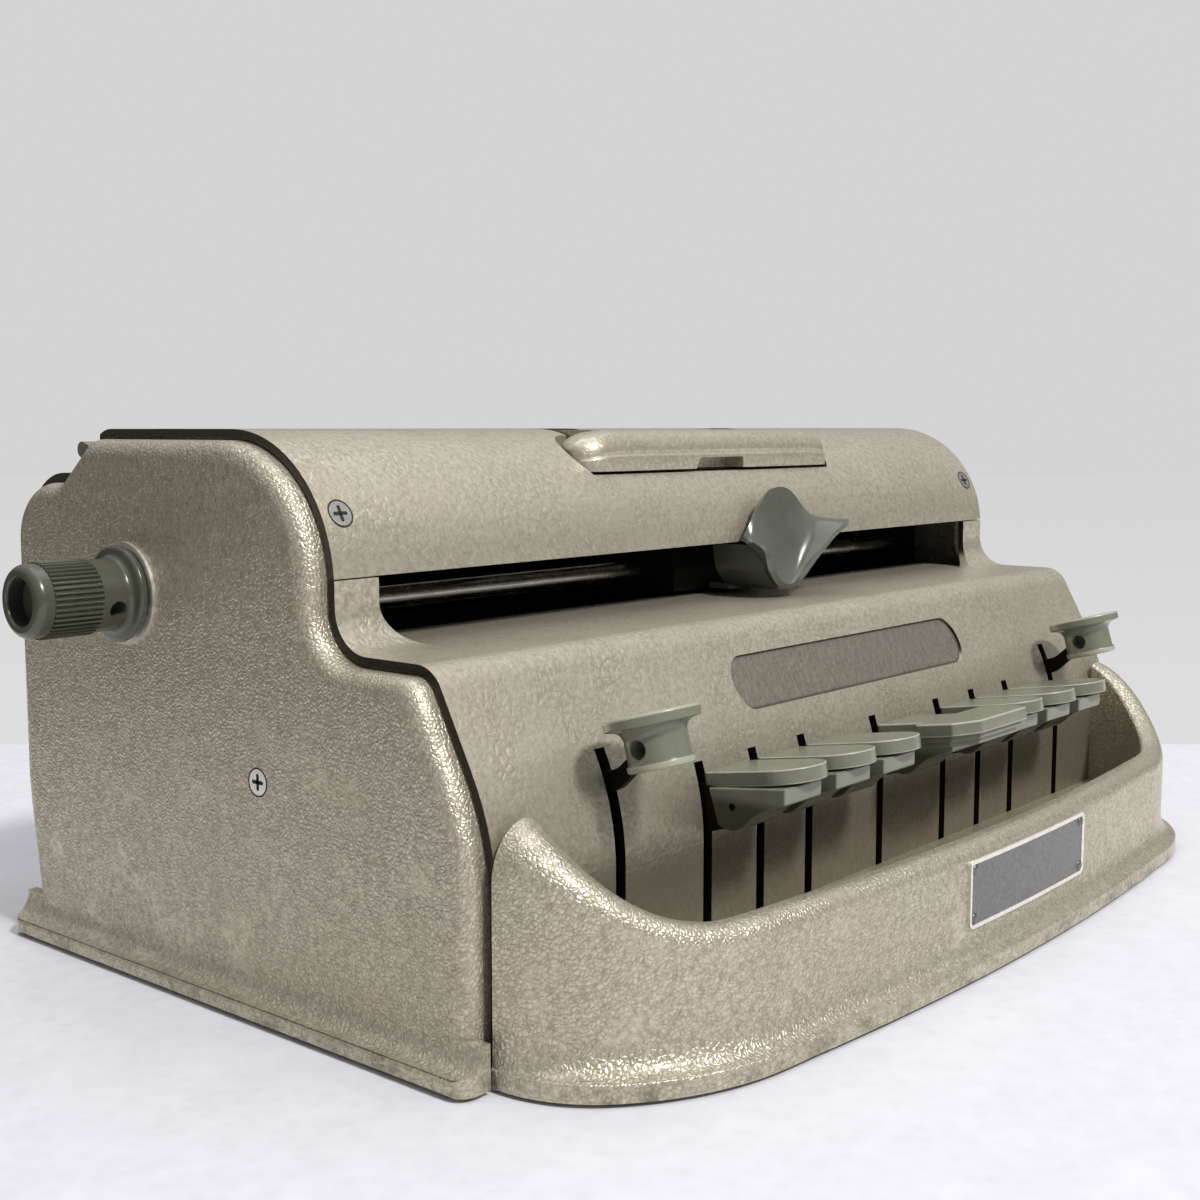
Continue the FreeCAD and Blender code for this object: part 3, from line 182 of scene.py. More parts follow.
def recess_look(g, parts, base, middle, half, radius):
    """Brushed field of a recess with its dark outline, and painted shade that darkens the panel low behind
    the keys.
    """
    depth = pill_depth(g, parts, middle, half, radius)
    inside = smooth_step(g, depth, 0.0, 0.0002)
    outline = g.math("MULTIPLY", inside, smooth_step(g, depth, 0.0011, 0.0003))
    streaks = g.add("Mapping", None, {"Vector": g.place, "Scale": (3.0, 1.0, 0.25)})
    brushed = g.ramp(g.noise(420.0, 3.0, 0.6, streaks.outputs[0]), [
        (0.3, shade(ENAMEL_TINT, 0.42)), (0.7, shade(ENAMEL_TINT, 0.62, 0.61, 0.6))])
    base = g.mix(inside, base, brushed)
    base = g.mix(g.math("MULTIPLY", outline, 0.75), base, rgba(0.05, 0.045, 0.035))
    # Painted shade: the panel darkens downwards towards the key tray.
    panel_shade = g.math("MULTIPLY", smooth_step(g, parts["Z"], *PANEL_SHADE_HEIGHTS), 0.72)
    return g.mix(panel_shade, base, shade(ENAMEL_TINT, 0.4, 0.38, 0.34))


def hammertone(name, recess=None, side_shade_tone=None, pebbled=False):
    """Warm grey-beige hammer finish enamel: low pebbles, with a broken crease round some of them.

    A recess is the middle, half sizes and corner radius of a brushed field.  The tone given for the faces
    that look along X, at slots and sheet ends, is painted shade."""
    g = Graph(name, Metallic=0.62)
    swirl = g.add("TexNoise", None, {"Vector": g.place, "Scale": 420.0, "Detail": 2.0})
    shift = g.add("VectorMath", {"operation": "MULTIPLY_ADD"}, {
        0: swirl.outputs["Color"], 1: (PEBBLE_WARP[pebbled],) * 3, 2: g.place})
    cell = g.add("TexVoronoi", {"feature": "DISTANCE_TO_EDGE"}, {
        "Vector": shift.outputs[0], "Scale": PEBBLE_SCALE[pebbled]})
    edge = cell.outputs["Distance"]
    dome = g.math("POWER", g.math("MINIMUM", g.math("MULTIPLY", edge, 2.4), 1.0), 0.8)
    broken = smooth_step(g, g.noise(70.0, 3.0, 0.55), BROKEN_LOW[pebbled], BROKEN_HIGH[pebbled])
    crease = g.math("MULTIPLY", smooth_step(g, edge, 0.16, 0.0), broken)
    grain = g.noise(1300.0, 3.0, 0.6)
    mottle = g.noise(620.0, 2.0, 0.5)
    swell = g.math("MULTIPLY", dome, g.math("MULTIPLY_ADD", broken, PEBBLE_SWELL[pebbled], 0.25))
    ripple = g.math("ADD", g.math("MULTIPLY", mottle, 1.1), g.math("MULTIPLY", grain, 0.4))
    height = g.math("ADD", swell, ripple)

    tone = g.math("ADD", g.math("MULTIPLY", grain, 0.45), g.math("MULTIPLY", mottle, 0.55))
    base = g.ramp(tone, [(0.38, shade(ENAMEL_TINT, 0.76, 0.75, 0.71)), (0.6, shade(ENAMEL_TINT, 1.2))])
    drift = g.ramp(g.noise(14.0, 3.0, 0.55), [(0.38, (0, 0, 0)), (0.7, (0.35, 0.35, 0.35))])
    base = g.mix(drift, base, shade(ENAMEL_TINT, 0.95, 0.91, 0.84))
    creased = g.math("MULTIPLY", crease, CREASE_TONE[pebbled])
    base = g.mix(creased, base, shade(ENAMEL_TINT, 0.42, 0.39, 0.34))
    parts = g.parts()
    low = smooth_step(g, parts["Z"], *WEAR_HEIGHTS)
    second_tone = g.math("MULTIPLY", low, smooth_step(g, g.noise(110.0, 4.0, 0.7), 0.5, 0.66))
    base = g.mix(g.math("MULTIPLY", second_tone, 0.6), base, rgba(*WORN_THROUGH))
    if recess:
        base = recess_look(g, parts, base, *recess)
    # Painted shade on the faces that look along X: the walls of slots and the ends of sheets.
    if side_shade_tone:
        facing = g.parts(g.add("TexCoord").outputs["Normal"])["X"]
        cut = smooth_step(g, g.math("ABSOLUTE", facing), 0.7, 0.9)
        base = g.mix(cut, base, rgba(*side_shade_tone))
    rough = g.add("MapRange", None, {
        "Value": tone, "From Min": 0.35, "From Max": 0.65, "To Min": 0.5, "To Max": 0.3}).outputs[0]
    g.set(g.shader, {
        "Base_Color": base, "Roughness": rough, "Coat_Weight": 0.18, "Coat_Roughness": 0.2,
        "Normal": g.bump(height, PEBBLE_DEPTH[pebbled])})
    return g.material


def plate_metal(name, middle, half, radius, border):
    """Bare plate: a dark grey etched field inside a thin bright border."""
    g = Graph(name, Metallic=0.8, Roughness=0.38)
    field = smooth_step(g, pill_depth(g, g.parts(), middle, half, radius), border, border + 0.00015)
    grain = g.noise(900.0, 3.0, 0.6)
    bright = g.ramp(grain, [(0.3, (0.62, 0.6, 0.56)), (0.7, (0.8, 0.78, 0.73))])
    dull = g.ramp(grain, [(0.3, (0.12, 0.12, 0.125)), (0.7, (0.19, 0.19, 0.195))])
    g.set(g.shader, {"Base_Color": g.mix(field, bright, dull), "Normal": g.bump(grain, 0.00002, 0.5)})
    return g.material


def plastic(name, tint, roughness, painted_shade_heights=None):
    """Smooth moulding with a little grime.  Below the given heights it darkens downwards, a painted shade."""
    g = Graph(name, Roughness=roughness)
    grime = g.noise(90.0, 5.0, 0.65)
    fine = g.noise(1800.0, 2.0, 0.5)
    base = g.ramp(grime, [(0.32, shade(tint, 0.86, 0.86, 0.82)), (0.65, shade(tint, 1.06))])
    if painted_shade_heights:
        # Painted shade below the given heights.
        lit = smooth_step(g, g.parts()["Z"], *painted_shade_heights)
        base = g.mix(lit, shade(tint, 0.3, 0.3, 0.26), base)
    g.set(g.shader, {"Base_Color": base, "Normal": g.bump(fine, 0.00002, 0.5)})
    return g.material


def metal(name, tint, roughness, streak=(1.0, 1.0, 1.0)):
    """Metal with fine lines, drawn out along the axes where streak is small."""
    g = Graph(name, Metallic=1.0)
    stretched = g.add("Mapping", None, {"Vector": g.place, "Scale": streak})
    lines = g.noise(600.0, 4.0, 0.6, stretched.outputs[0])
    base = g.ramp(lines, [(0.3, shade(tint, 0.8)), (0.7, shade(tint, 1.1))])
    rough = g.add("MapRange", None, {
        "Value": lines, "To Min": roughness * 0.8, "To Max": min(1.0, roughness * 1.3)})
    g.set(g.shader, {
        "Base_Color": base, "Roughness": rough.outputs[0], "Normal": g.bump(lines, 0.00002, 0.4)})
    return g.material


def rubber(name, tint):
    g = Graph(name, Roughness=0.75)
    speck = g.noise(900.0, 4.0, 0.6)
    base = g.ramp(speck, [(0.3, shade(tint, 0.7)), (0.7, shade(tint, 1.4))])
    g.set(g.shader, {"Base_Color": base, "Normal": g.bump(speck, 0.00005, 0.5)})
    return g.material


LABEL_MIDDLE = (7.0, 21.45)
LABEL_HALF = (36.0, 9.25)
LABEL_CORNER = 2.0
LABEL_BORDER = 1.1
RECESS_MIDDLE = (3.6, 75.0)
RECESS_HALF = (62.3, 7.0)
RECESS_CORNER = 6.9
UNDER_PADS = (0.0500, 0.0535)       # between these, in metres, the key tops come out of the painted shade under their pads


def metres(pair):
    return pair[0] * MM, pair[1] * MM


MATERIALS = {
    "hammertone_enamel": hammertone("hammertone_enamel"),
    "key_plastic": plastic("key_plastic", (0.15, 0.157, 0.122), 0.26, UNDER_PADS),
    "knob_plastic": plastic("knob_plastic", (0.058, 0.061, 0.044), 0.27),
    # Pale plastic for rounded edges: wear, and painted highlight where edges catch the light.
    "worn_and_highlit_plastic": plastic("worn_and_highlit_plastic", (0.30, 0.305, 0.25), 0.3, UNDER_PADS),
    "saddle_plastic": plastic("saddle_plastic", (0.076, 0.082, 0.068), 0.18),
    "shadow_black": plastic("shadow_black", (0.006, 0.006, 0.005), 0.8),
    "lever_steel": metal("lever_steel", (0.016, 0.013, 0.009), 0.5, (1, 1, 6)),
    "dark_steel": metal("dark_steel", (0.018, 0.018, 0.016), 0.66),
    "bright_steel": metal("bright_steel", (0.62, 0.61, 0.58), 0.25, (0.2, 1, 1)),
    "brass": metal("brass", (0.45, 0.34, 0.15), 0.4),
    "black_rubber": rubber("black_rubber", (0.02, 0.02, 0.02)),
    "roller_rubber": rubber("roller_rubber", (0.035, 0.035, 0.035)),
    "label_aluminium": plate_metal(
        "label_aluminium", metres(LABEL_MIDDLE), metres(LABEL_HALF), LABEL_CORNER * MM, LABEL_BORDER * MM),
    "casting_enamel": hammertone("casting_enamel", pebbled=True),
    "sheet_enamel": hammertone("sheet_enamel", side_shade_tone=(0.062, 0.057, 0.044)),
    "front_enamel": hammertone(
        "front_enamel", recess=(metres(RECESS_MIDDLE), metres(RECESS_HALF), RECESS_CORNER * MM),
        side_shade_tone=(0.022, 0.019, 0.012)),
    "bush_steel": metal("bush_steel", (0.8, 0.78, 0.72), 0.5),
}
SLOT_OF = {row["node"]: row["material_slot"] for row in frame["record"]["subparts"]}


def dress(obj, name):
    obj.data.materials.clear()
    obj.data.materials.append(MATERIALS[name])


for node, obj in nodes.items():
    dress(obj, SLOT_OF[node])
for node in ("left_end_panel", "right_end_panel"):
    dress(nodes[node], "casting_enamel")
dress(nodes["front_panel"], "front_enamel")
dress(nodes["top_cover"], "sheet_enamel")
dress(nodes["rear_cover"], "sheet_enamel")
dress(nodes["feed_bushes"], "bush_steel")


# ---------------------------------------------------------------- mesh helpers

def arc(cx, cy, rx, ry, start, end, steps):
    """Points on an ellipse's arc, angles in degrees."""
    points = []
    for i in range(steps + 1):
        turn = math.radians(start + (end - start) * i / steps)
        points.append((cx + rx * math.cos(turn), cy + ry * math.sin(turn)))
    return points


def rounded(corners, steps=8):
    """Closed outline of (a, b, radius) corners, with each corner rounded by an arc."""
    points = []
    count = len(corners)
    for i in range(count):
        here = Vector(corners[i][:2])
        radius = corners[i][2]
        if radius <= 0:
            points.append(tuple(here))
            continue
        to_before = (Vector(corners[i - 1][:2]) - here).normalized()
        to_after = (Vector(corners[(i + 1) % count][:2]) - here).normalized()
        half = to_before.angle(to_after) / 2
        middle = (to_before + to_after).normalized()
        centre = here + middle * (radius / math.sin(half))
        first = here + to_before * (radius / math.tan(half)) - centre
        last = here + to_after * (radius / math.tan(half)) - centre
        turn = first.angle_signed(last)
        for k in range(steps + 1):
            share = -turn * k / steps
            c, s = math.cos(share), math.sin(share)
            points.append((centre.x + first.x * c - first.y * s, centre.y + first.x * s + first.y * c))
    return points


def prism(points, low, high, axis="Z"):
    """Closed bmesh over an outline.  Axis X takes (Y, Z) points, Y takes (X, Z), Z takes (X, Y)."""
    place = {
        "X": lambda p, h: (h, p[0], p[1]),
        "Y": lambda p, h: (p[0], h, p[1]),
        "Z": lambda p, h: (p[0], p[1], h),
    }[axis]
    bm = bmesh.new()
    below = [bm.verts.new(place(p, low)) for p in points]
    above = [bm.verts.new(place(p, high)) for p in points]
    bm.faces.new(below)
    bm.faces.new(above)
    count = len(points)
    for i in range(count):
        j = (i + 1) % count
        bm.faces.new((below[i], below[j], above[j], above[i]))
    bmesh.ops.recalc_face_normals(bm, faces=bm.faces)
    return bm


def loft(rings, closed_ends=True):
    """Bmesh through closed rings of the same number of points."""
    bm = bmesh.new()
    rows = [[bm.verts.new(p) for p in ring] for ring in rings]
    count = len(rings[0])
    for first, second in zip(rows, rows[1:]):
        for i in range(count):
            j = (i + 1) % count
            bm.faces.new((first[i], first[j], second[j], second[i]))
    if closed_ends:
        bm.faces.new(rows[0])
        bm.faces.new(rows[-1])
    bmesh.ops.recalc_face_normals(bm, faces=bm.faces)
    return bm


def revolve(profile, axis, steps):
    """Solid of revolution of (radius, height) points, from one pole to the other."""
    place = {
        "X": lambda r, h, c, s: (h, r * c, r * s),
        "Z": lambda r, h, c, s: (r * c, r * s, h),
    }[axis]
    bm = bmesh.new()
    rows = []
    for r, h in profile:
        if r < 1e-6:
            rows.append([bm.verts.new(place(0, h, 1, 0))] * steps)
            continue
        row = []
        for i in range(steps):
            turn = 2 * math.pi * i / steps
            row.append(bm.verts.new(place(r, h, math.cos(turn), math.sin(turn))))
        rows.append(row)
    for first, second in zip(rows, rows[1:]):
        for i in range(steps):
            j = (i + 1) % steps
            ring = []
            for v in (first[i], first[j], second[j], second[i]):
                if v not in ring:
                    ring.append(v)
            if len(ring) > 2:
                bm.faces.new(ring)
    bmesh.ops.recalc_face_normals(bm, faces=bm.faces)
    return bm


def round_edges(bm, width, angle=30.0, second_tone=False):
    """Round the sharp edges, and give them the paler finish where asked: wear, and painted highlight."""
    edges = [e for e in bm.edges if e.is_manifold and e.calc_face_angle(0.0) > math.radians(angle)]
    bmesh.ops.bevel(bm, geom=edges, offset=width, segments=3, profile=0.5,
                    affect="EDGES", clamp_overlap=True, material=1 if second_tone else -1)
    return bm


def joined(parts):
    """One bmesh of several, which are used up."""
    whole = bmesh.new()
    for bm in parts:
        mesh = bpy.data.meshes.new("part")
        bm.to_mesh(mesh)
        whole.from_mesh(mesh)
        bpy.data.meshes.remove(mesh)
        bm.free()
    return whole


def as_mesh(name, bm):
    """Mesh in metres of a bmesh in millimetres, which is used up."""
    bmesh.ops.scale(bm, vec=(MM, MM, MM), verts=bm.verts)
    mesh = bpy.data.meshes.new(name)
    bm.to_mesh(mesh)
    bm.free()
    return mesh


def piece(name, bm, slot, body, replaced=(), smooth=35.0):
    """Turn a bmesh in millimetres into a scene piece that rides on a body.

    Faces with material index 1 get the pale plastic of wear and painted highlight."""
    mesh = as_mesh(name, bm)
    mesh.shade_smooth()
    mesh.set_sharp_from_angle(angle=math.radians(smooth))
    obj = bpy.data.objects.new(name, mesh)
    bpy.context.collection.objects.link(obj)
    obj.data.materials.append(MATERIALS[slot])
    if any(face.material_index == 1 for face in mesh.polygons):
        obj.data.materials.append(MATERIALS["worn_and_highlit_plastic"])
    weigh(obj)
    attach(obj, body)
    if replaced:
        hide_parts(*replaced)
    return obj


def weigh(obj):
    """Let large flat faces keep their own normal beside narrow rounded edges."""
    normals = obj.modifiers.new("weighted", "WEIGHTED_NORMAL")
    normals.keep_sharp = True
    normals.weight = 90


def carve(obj, cutters):
    """Cut closed bmeshes out of a piece for good."""
    for bm in cutters:
        cutter = bpy.data.objects.new("cutter", as_mesh("cutter", bm))
        bpy.context.collection.objects.link(cutter)
        obj.modifiers.clear()
        cut = obj.modifiers.new("cut", "BOOLEAN")
        cut.operation = "DIFFERENCE"
        cut.solver = "EXACT"
        cut.object = cutter
        bpy.context.view_layer.update()
        solid = obj.evaluated_get(bpy.context.evaluated_depsgraph_get())
        result = bpy.data.meshes.new_from_object(solid)
        obj.modifiers.clear()
        old = obj.data
        obj.data = result
        bpy.data.meshes.remove(old)
        bpy.data.objects.remove(cutter)
    weigh(obj)


def add_shell(obj, bm, smooth):
    """Join a closed bmesh in millimetres to a piece."""
    extra = as_mesh("shell", bm)
    whole = bmesh.new()
    whole.from_mesh(obj.data)
    whole.from_mesh(extra)
    whole.to_mesh(obj.data)
    whole.free()
    bpy.data.meshes.remove(extra)
    obj.data.shade_smooth()
    obj.data.set_sharp_from_angle(angle=math.radians(smooth))


def rod(radius, start, direction, length):
    """Closed round bar from a point along a direction."""
    bm = bmesh.new()
    bmesh.ops.create_cone(bm, cap_ends=True, segments=32, radius1=radius, radius2=radius, depth=length)
    way = Vector(direction).normalized()
    turn = way.to_track_quat("Z", "Y").to_matrix().to_4x4()
    middle = Vector(start) + way * (length / 2)
    bmesh.ops.transform(bm, matrix=Matrix.Translation(middle) @ turn, verts=bm.verts)
    return bm


def catmull(points, steps):
    """Points of a smooth curve through the given points."""
    knots = [Vector(p) for p in points]
    knots = [knots[0] * 2 - knots[1]] + knots + [knots[-1] * 2 - knots[-2]]
    smooth = []
    for i in range(1, len(knots) - 2):
        a, b, c, d = knots[i - 1:i + 3]
        for k in range(steps):
            t = k / steps
            smooth.append(0.5 * (2 * b + (c - a) * t + (2 * a - 5 * b + 4 * c - d) * t * t
                                 + (3 * b - a - 3 * c + d) * t * t * t))
    smooth.append(knots[-2])
    return smooth


# ---------------------------------------------------------------- key tray

CORNER_DEEP = 49.5
CORNER_WIDE = 57.7
CORNER_Y = -56.0
TRAY_FOOT_X = 163.2
TRAY_BOW = 5.5
TRAY_REAR = -67.0
TRAY_WALL = 7.6
TRAY_FLOOR = 16.0
FLOOR_THICK = 2
FLANGE_OUT = 5.0
FLANGE_SIDE = 0.7
FLANGE_TAPER = 22.0
FLANGE_LOW = 1.0
FLANGE_TOP = 5.2
COVE_TOP = 12.2
RIM_RISE_START = -103.0
RIM_RISE_END = -70.0
# Each pair holds the value along the tray's front, then the value at its raised ends.
RIM_HEIGHT = (34.5, 58.8)
SHOULDER_DEPTH = (4.5, 13.0)
SHOULDER_BREADTH = (4.6, 11.2)
RIM_WALL = (TRAY_WALL, 14.0)
INNER_EDGE = (1.4, 1.5)
PATH_SMOOTHING = 10


def ellipse_reach(wide, deep):
    """How far a corner's ellipse reaches along X where the tray meets the front panel."""
    return wide * math.sqrt(1 - ((TRAY_REAR - CORNER_Y) / deep) ** 2)


CORNER_X = TRAY_FOOT_X - ellipse_reach(CORNER_WIDE + FLANGE_SIDE, CORNER_DEEP + FLANGE_OUT)
BOW_RADIUS = (CORNER_X * CORNER_X + TRAY_BOW * TRAY_BOW) / (2 * TRAY_BOW)
BOW_CENTRE = CORNER_Y - CORNER_DEEP - TRAY_BOW + BOW_RADIUS


def tray_path():
    """Points along the outer wall from the left end, round both corners, to the right end."""
    corner = arc(CORNER_X, CORNER_Y, CORNER_WIDE, CORNER_DEEP, -90, 0, 48)
    span = math.degrees(math.asin(CORNER_X / BOW_RADIUS))
    bow = arc(0, BOW_CENTRE, BOW_RADIUS, BOW_RADIUS, -90 - span, -90 + span, 120)
    left = [(-x, y) for x, y in reversed(corner)]
    points = [Vector(p) for p in left[:-1] + bow + corner[1:]]
    for _ in range(PATH_SMOOTHING):
        points = [points[0]] + [
            (a + b * 2 + c) / 4 for a, b, c in zip(points, points[1:], points[2:])] + [points[-1]]
    return points


def tray_rim(y):
    """Height of the rim, depth and breadth of its outer rounding, and the wall, for a place along it."""
    share = min(1.0, max(0.0, (y - RIM_RISE_START) / (RIM_RISE_END - RIM_RISE_START)))
    rise = 0.45 * share + 0.55 * share * share * (3 - 2 * share)
    horn = share ** 2.2
    return (between(RIM_HEIGHT, rise), between(SHOULDER_DEPTH, horn), between(SHOULDER_BREADTH, horn),
            between(RIM_WALL, horn))


def tray_section(rim, shoulder, broad, wall, flange):
    """(outwards, height) points round the wall, with its flange, cove, wall and rim."""
    edge_wide, edge_deep = INNER_EDGE
    points = [(flange, FLANGE_LOW)]
    points += arc(flange - 0.35, FLANGE_TOP - 0.7, 0.35, 0.7, 0, 90, 4)
    reach = flange - 0.5
    points += arc(reach, COVE_TOP, reach, COVE_TOP - FLANGE_TOP - 0.25, 262, 180, 9)
    points += arc(-broad, rim - shoulder, broad, shoulder, 0, 84, 12)
    points += arc(-wall + edge_wide, rim - edge_deep, edge_wide, edge_wide, 90, 180, 6)
    points += [(-wall, TRAY_FLOOR - 1), (-wall, FLANGE_LOW)]
    return points


def flange_reach(y):
    """The base flange narrows towards the end panels."""
    share = min(1.0, max(0.0, (TRAY_REAR - y) / FLANGE_TAPER))
    return between((FLANGE_SIDE, FLANGE_OUT), math.sin(share * math.pi / 2))


def build_tray():
    """Curved wall with flange and rim, cut flat where it meets the front panel, and a floor."""
    path = tray_path()
    rings = []
    inner = []
    for i, p in enumerate(path):
        along = (path[min(i + 1, len(path) - 1)] - path[max(i - 1, 0)]).normalized()
        out = Vector((along.y, -along.x))
        section = tray_section(*tray_rim(p.y), flange_reach(p.y))
        rings.append([(p.x + out.x * o, p.y + out.y * o, z) for o, z in section])
        inner.append(p - out * (TRAY_WALL - 0.4))
    wall = loft(rings)
    cut = bmesh.ops.bisect_plane(wall, geom=wall.verts[:] + wall.edges[:] + wall.faces[:],
                                 plane_co=(0, TRAY_REAR, 0), plane_no=(0, 1, 0), clear_outer=True)
    cut_edges = [e for e in cut["geom_cut"] if isinstance(e, bmesh.types.BMEdge)]
    bmesh.ops.holes_fill(wall, edges=cut_edges)
    ground = [(p.x, p.y) for p in inner if p.y < TRAY_REAR]
    ground = [(ground[0][0], TRAY_REAR)] + ground + [(ground[-1][0], TRAY_REAR)]
    floor = prism(ground, TRAY_FLOOR - FLOOR_THICK, TRAY_FLOOR)
    obj = piece("key_tray_casting", joined([wall, floor]), "hammertone_enamel", "root", ["key_tray"], 40)
    dress(obj, "casting_enamel")


LABEL_THICK = 0.8
LABEL_SUNK = 0.25
RIVET_INSET = 2.7
RIVET_RADIUS = 1.5
RIVET_HEIGHT = 0.62


def tray_front(x):
    """Y of the tray's bowed front wall."""
    return BOW_CENTRE - math.sqrt(BOW_RADIUS * BOW_RADIUS - x * x)


def plate_stations(half):
    """Places along the plate, close together where its corners round."""
    left = [-half + LABEL_CORNER * (1 - math.cos(math.radians(k * 90 / 8))) for k in range(9)]
    left.insert(1, -half + 0.04)
    left += [-half + LABEL_CORNER + (half - LABEL_CORNER) * k / 12 for k in range(1, 13)]
    return left + [-x for x in reversed(left[:-1])]


def label_plate():
    """Bare plate with round corners, a raised border and four rivets, bent to the tray's front."""
    half_x, half_z = LABEL_HALF
    middle_x, middle_z = LABEL_MIDDLE
    rings = []
    for x in plate_stations(half_x):
        near = max(0.0, abs(x) - (half_x - LABEL_CORNER))
        tall = half_z - LABEL_CORNER + math.sqrt(max(0.0, LABEL_CORNER ** 2 - near ** 2))
        field = tall - LABEL_BORDER
        wall = tray_front(x + middle_x)
        face = wall - LABEL_THICK
        sunk = face + (LABEL_SUNK if abs(x) < half_x - LABEL_BORDER else 0.0)
        ring = [(-tall, wall), (-tall, face), (-field, face), (-field + 0.1, sunk),
                (field - 0.1, sunk), (field, face), (tall, face), (tall, wall)]
        rings.append([(x + middle_x, y, z + middle_z) for z, y in ring])
    parts = [loft(rings)]
    turn = Matrix.Rotation(math.radians(90), 4, "X")
    head = arc(0, 0, RIVET_RADIUS, RIVET_HEIGHT, 0, 90, 6)[1:-1]
    for x in (middle_x - half_x + RIVET_INSET, middle_x + half_x - RIVET_INSET):
        for z in (middle_z - half_z + RIVET_INSET, middle_z + half_z - RIVET_INSET):
            dome = revolve([(RIVET_RADIUS, 0)] + head + [(0, RIVET_HEIGHT)], "Z", 24)
            at = (x, tray_front(x) - LABEL_THICK + LABEL_SUNK, z)
            bmesh.ops.transform(dome, matrix=Matrix.Translation(at) @ turn, verts=dome.verts)
            parts.append(dome)
    piece("bare_label_plate", joined(parts), "label_aluminium", "root", ["label_plate"], 30)


# ---------------------------------------------------------------- keys

DOT_X = {"3": -84.3, "2": -61.0, "1": -37.8, "4": 37.8, "5": 61.0, "6": 84.3}
LINE_X = 118.6
PAD_WIDTH = 20.0
PAD_REAR = -65.8
PAD_FRONT = -94.5
PAD_Z = 53.4
PAD_THICK = 3.8
PAD_OFFSET = -0.3
PAD_TILT = 9.0
# Layers of a pad: inset, low and high against PAD_Z, width of the rounded edges, pale edges of wear and
# painted highlight.
DOT_LAYERS = [(0, 0, PAD_THICK, 0.5, True), (1.2, -1.5, 0.2, 0.3, False), (2.0, -3.2, 0, 0.4, True)]
SPACE_LAYERS = [(0, 0, PAD_THICK, 0.5, True), (1.3, -1.6, 0.2, 0.3, False), (2.4, -3.2, 0, 0.4, False)]
BODY_LEFT = -1.2
BODY_RIGHT = 15.2
BODY_LOW = 44.0
BODY_FRONT = PAD_FRONT + 3.6
# The body's underside from rear to front, as (Y, Z) against PAD_REAR and BODY_LOW.
BODY_UNDER = [(-5.6, 0.4), (-9.5, 0.0), (-12.4, 1.1), (-15.4, 3.9), (-19.0, 6.4)]
BODY_NOSE = 8.6
SPACE_X = (-5.0, 35.0)
SPACE_Y = (-99.0, -81.0)
SPACE_CUT = 6.0
SPACE_NECK = -82.0
DOT_HOLE = 1.0


def tip_up(bm):
    """Tip level key top parts up at their front."""
    pivot = Vector((0, PAD_REAR, PAD_Z))
    turn = Matrix.Translation(pivot) @ Matrix.Rotation(math.radians(-PAD_TILT), 4, "X")
    bmesh.ops.transform(bm, matrix=turn @ Matrix.Translation(-pivot), verts=bm.verts)
    return bm


def pad_layers(outline, layers, sharp):
    """Stepped pad.  The outline is a function of the inset."""
    return [round_edges(prism(outline(inset), PAD_Z + low, PAD_Z + high), width, sharp, second_tone=second_tone)
            for inset, low, high, width, second_tone in layers]


def key_body(left):
    """Body that carries a pad: deep at the rear, sweeping up in a hollow curve to the front."""
    under = [(PAD_REAR + y, BODY_LOW + z) for y, z in BODY_UNDER] + [(BODY_FRONT, BODY_LOW + BODY_NOSE)]
    side = [(PAD_REAR - 5.0, BODY_LOW + 1.4)] + [tuple(p) for p in catmull(under, 5)]
    side += [(BODY_FRONT, PAD_Z + 3.4), (PAD_REAR - 2.2, PAD_Z + 0.5)]
    return round_edges(prism(side, left + BODY_LEFT, left + BODY_RIGHT, "X"), 0.5, 35)


def dot_key(name, x):
    """Pad with a round nose on its body, with a pin hole in the body's side."""
    left = x + PAD_OFFSET
    right = left + PAD_WIDTH

    def outline(inset):
        nose = PAD_WIDTH / 2 - inset - 0.01
        return rounded([
            (left + inset, PAD_FRONT + inset, nose),
            (right - inset, PAD_FRONT + inset, nose),
            (right - inset, PAD_REAR - inset, 1.5),
            (left + inset, PAD_REAR - inset, 1.5),
        ], 14)

    parts = [tip_up(bm) for bm in pad_layers(outline, DOT_LAYERS, 40)] + [key_body(left)]
    obj = piece("dot_%s_moulding" % name, joined(parts), "key_plastic",
                "dot_%s_key" % name, ["dot_%s_key_top" % name])
    carve(obj, [rod(DOT_HOLE, (x - 3, PAD_REAR - 9.5, BODY_LOW + 6), (1, 0, 0), 5.0)])


def space_head(inset):
    left, right = SPACE_X[0] + inset, SPACE_X[1] - inset
    front, rear = SPACE_Y[0] + inset, SPACE_Y[1] - inset
    return rounded([
        (left + SPACE_CUT, front, 1.2), (right - SPACE_CUT, front, 1.2), (right, front + SPACE_CUT, 1.2),
        (right, rear, 1.5), (left, rear, 1.5), (left, front + SPACE_CUT, 1.2),
    ], 5)


def space_key():
    """Broad head with cut corners on a neck as wide as a dot key's pad."""
    left = PAD_OFFSET
    right = left + PAD_WIDTH
    outline = rounded([(left, SPACE_NECK, 0), (right, SPACE_NECK, 0),
                       (right, PAD_REAR, 1.5), (left, PAD_REAR, 1.5)], 5)
    # The neck's rounded edges get the pale finish of wear and painted highlight.
    neck = round_edges(prism(outline, PAD_Z, PAD_Z + PAD_THICK - 0.01), 0.5, 40, second_tone=True)
    top = [neck] + pad_layers(space_head, SPACE_LAYERS, 25)
    parts = [tip_up(bm) for bm in top] + [key_body(left)]
    piece("space_moulding", joined(parts), "key_plastic", "space_key", ["space_key_top"])


DISC_Y = -75.6
DISC_Z = 78.4
DISC_RADIUS = 11.5
DISC_EDGE = 0.7
DISC_TILT = 16.0
DISC_BODY = 7.5
DISC_FOOT = 0.5
DISC_DROP = 13.0
DISC_HOLE = 2.3
DISC_HOLE_HIGH = 5.2


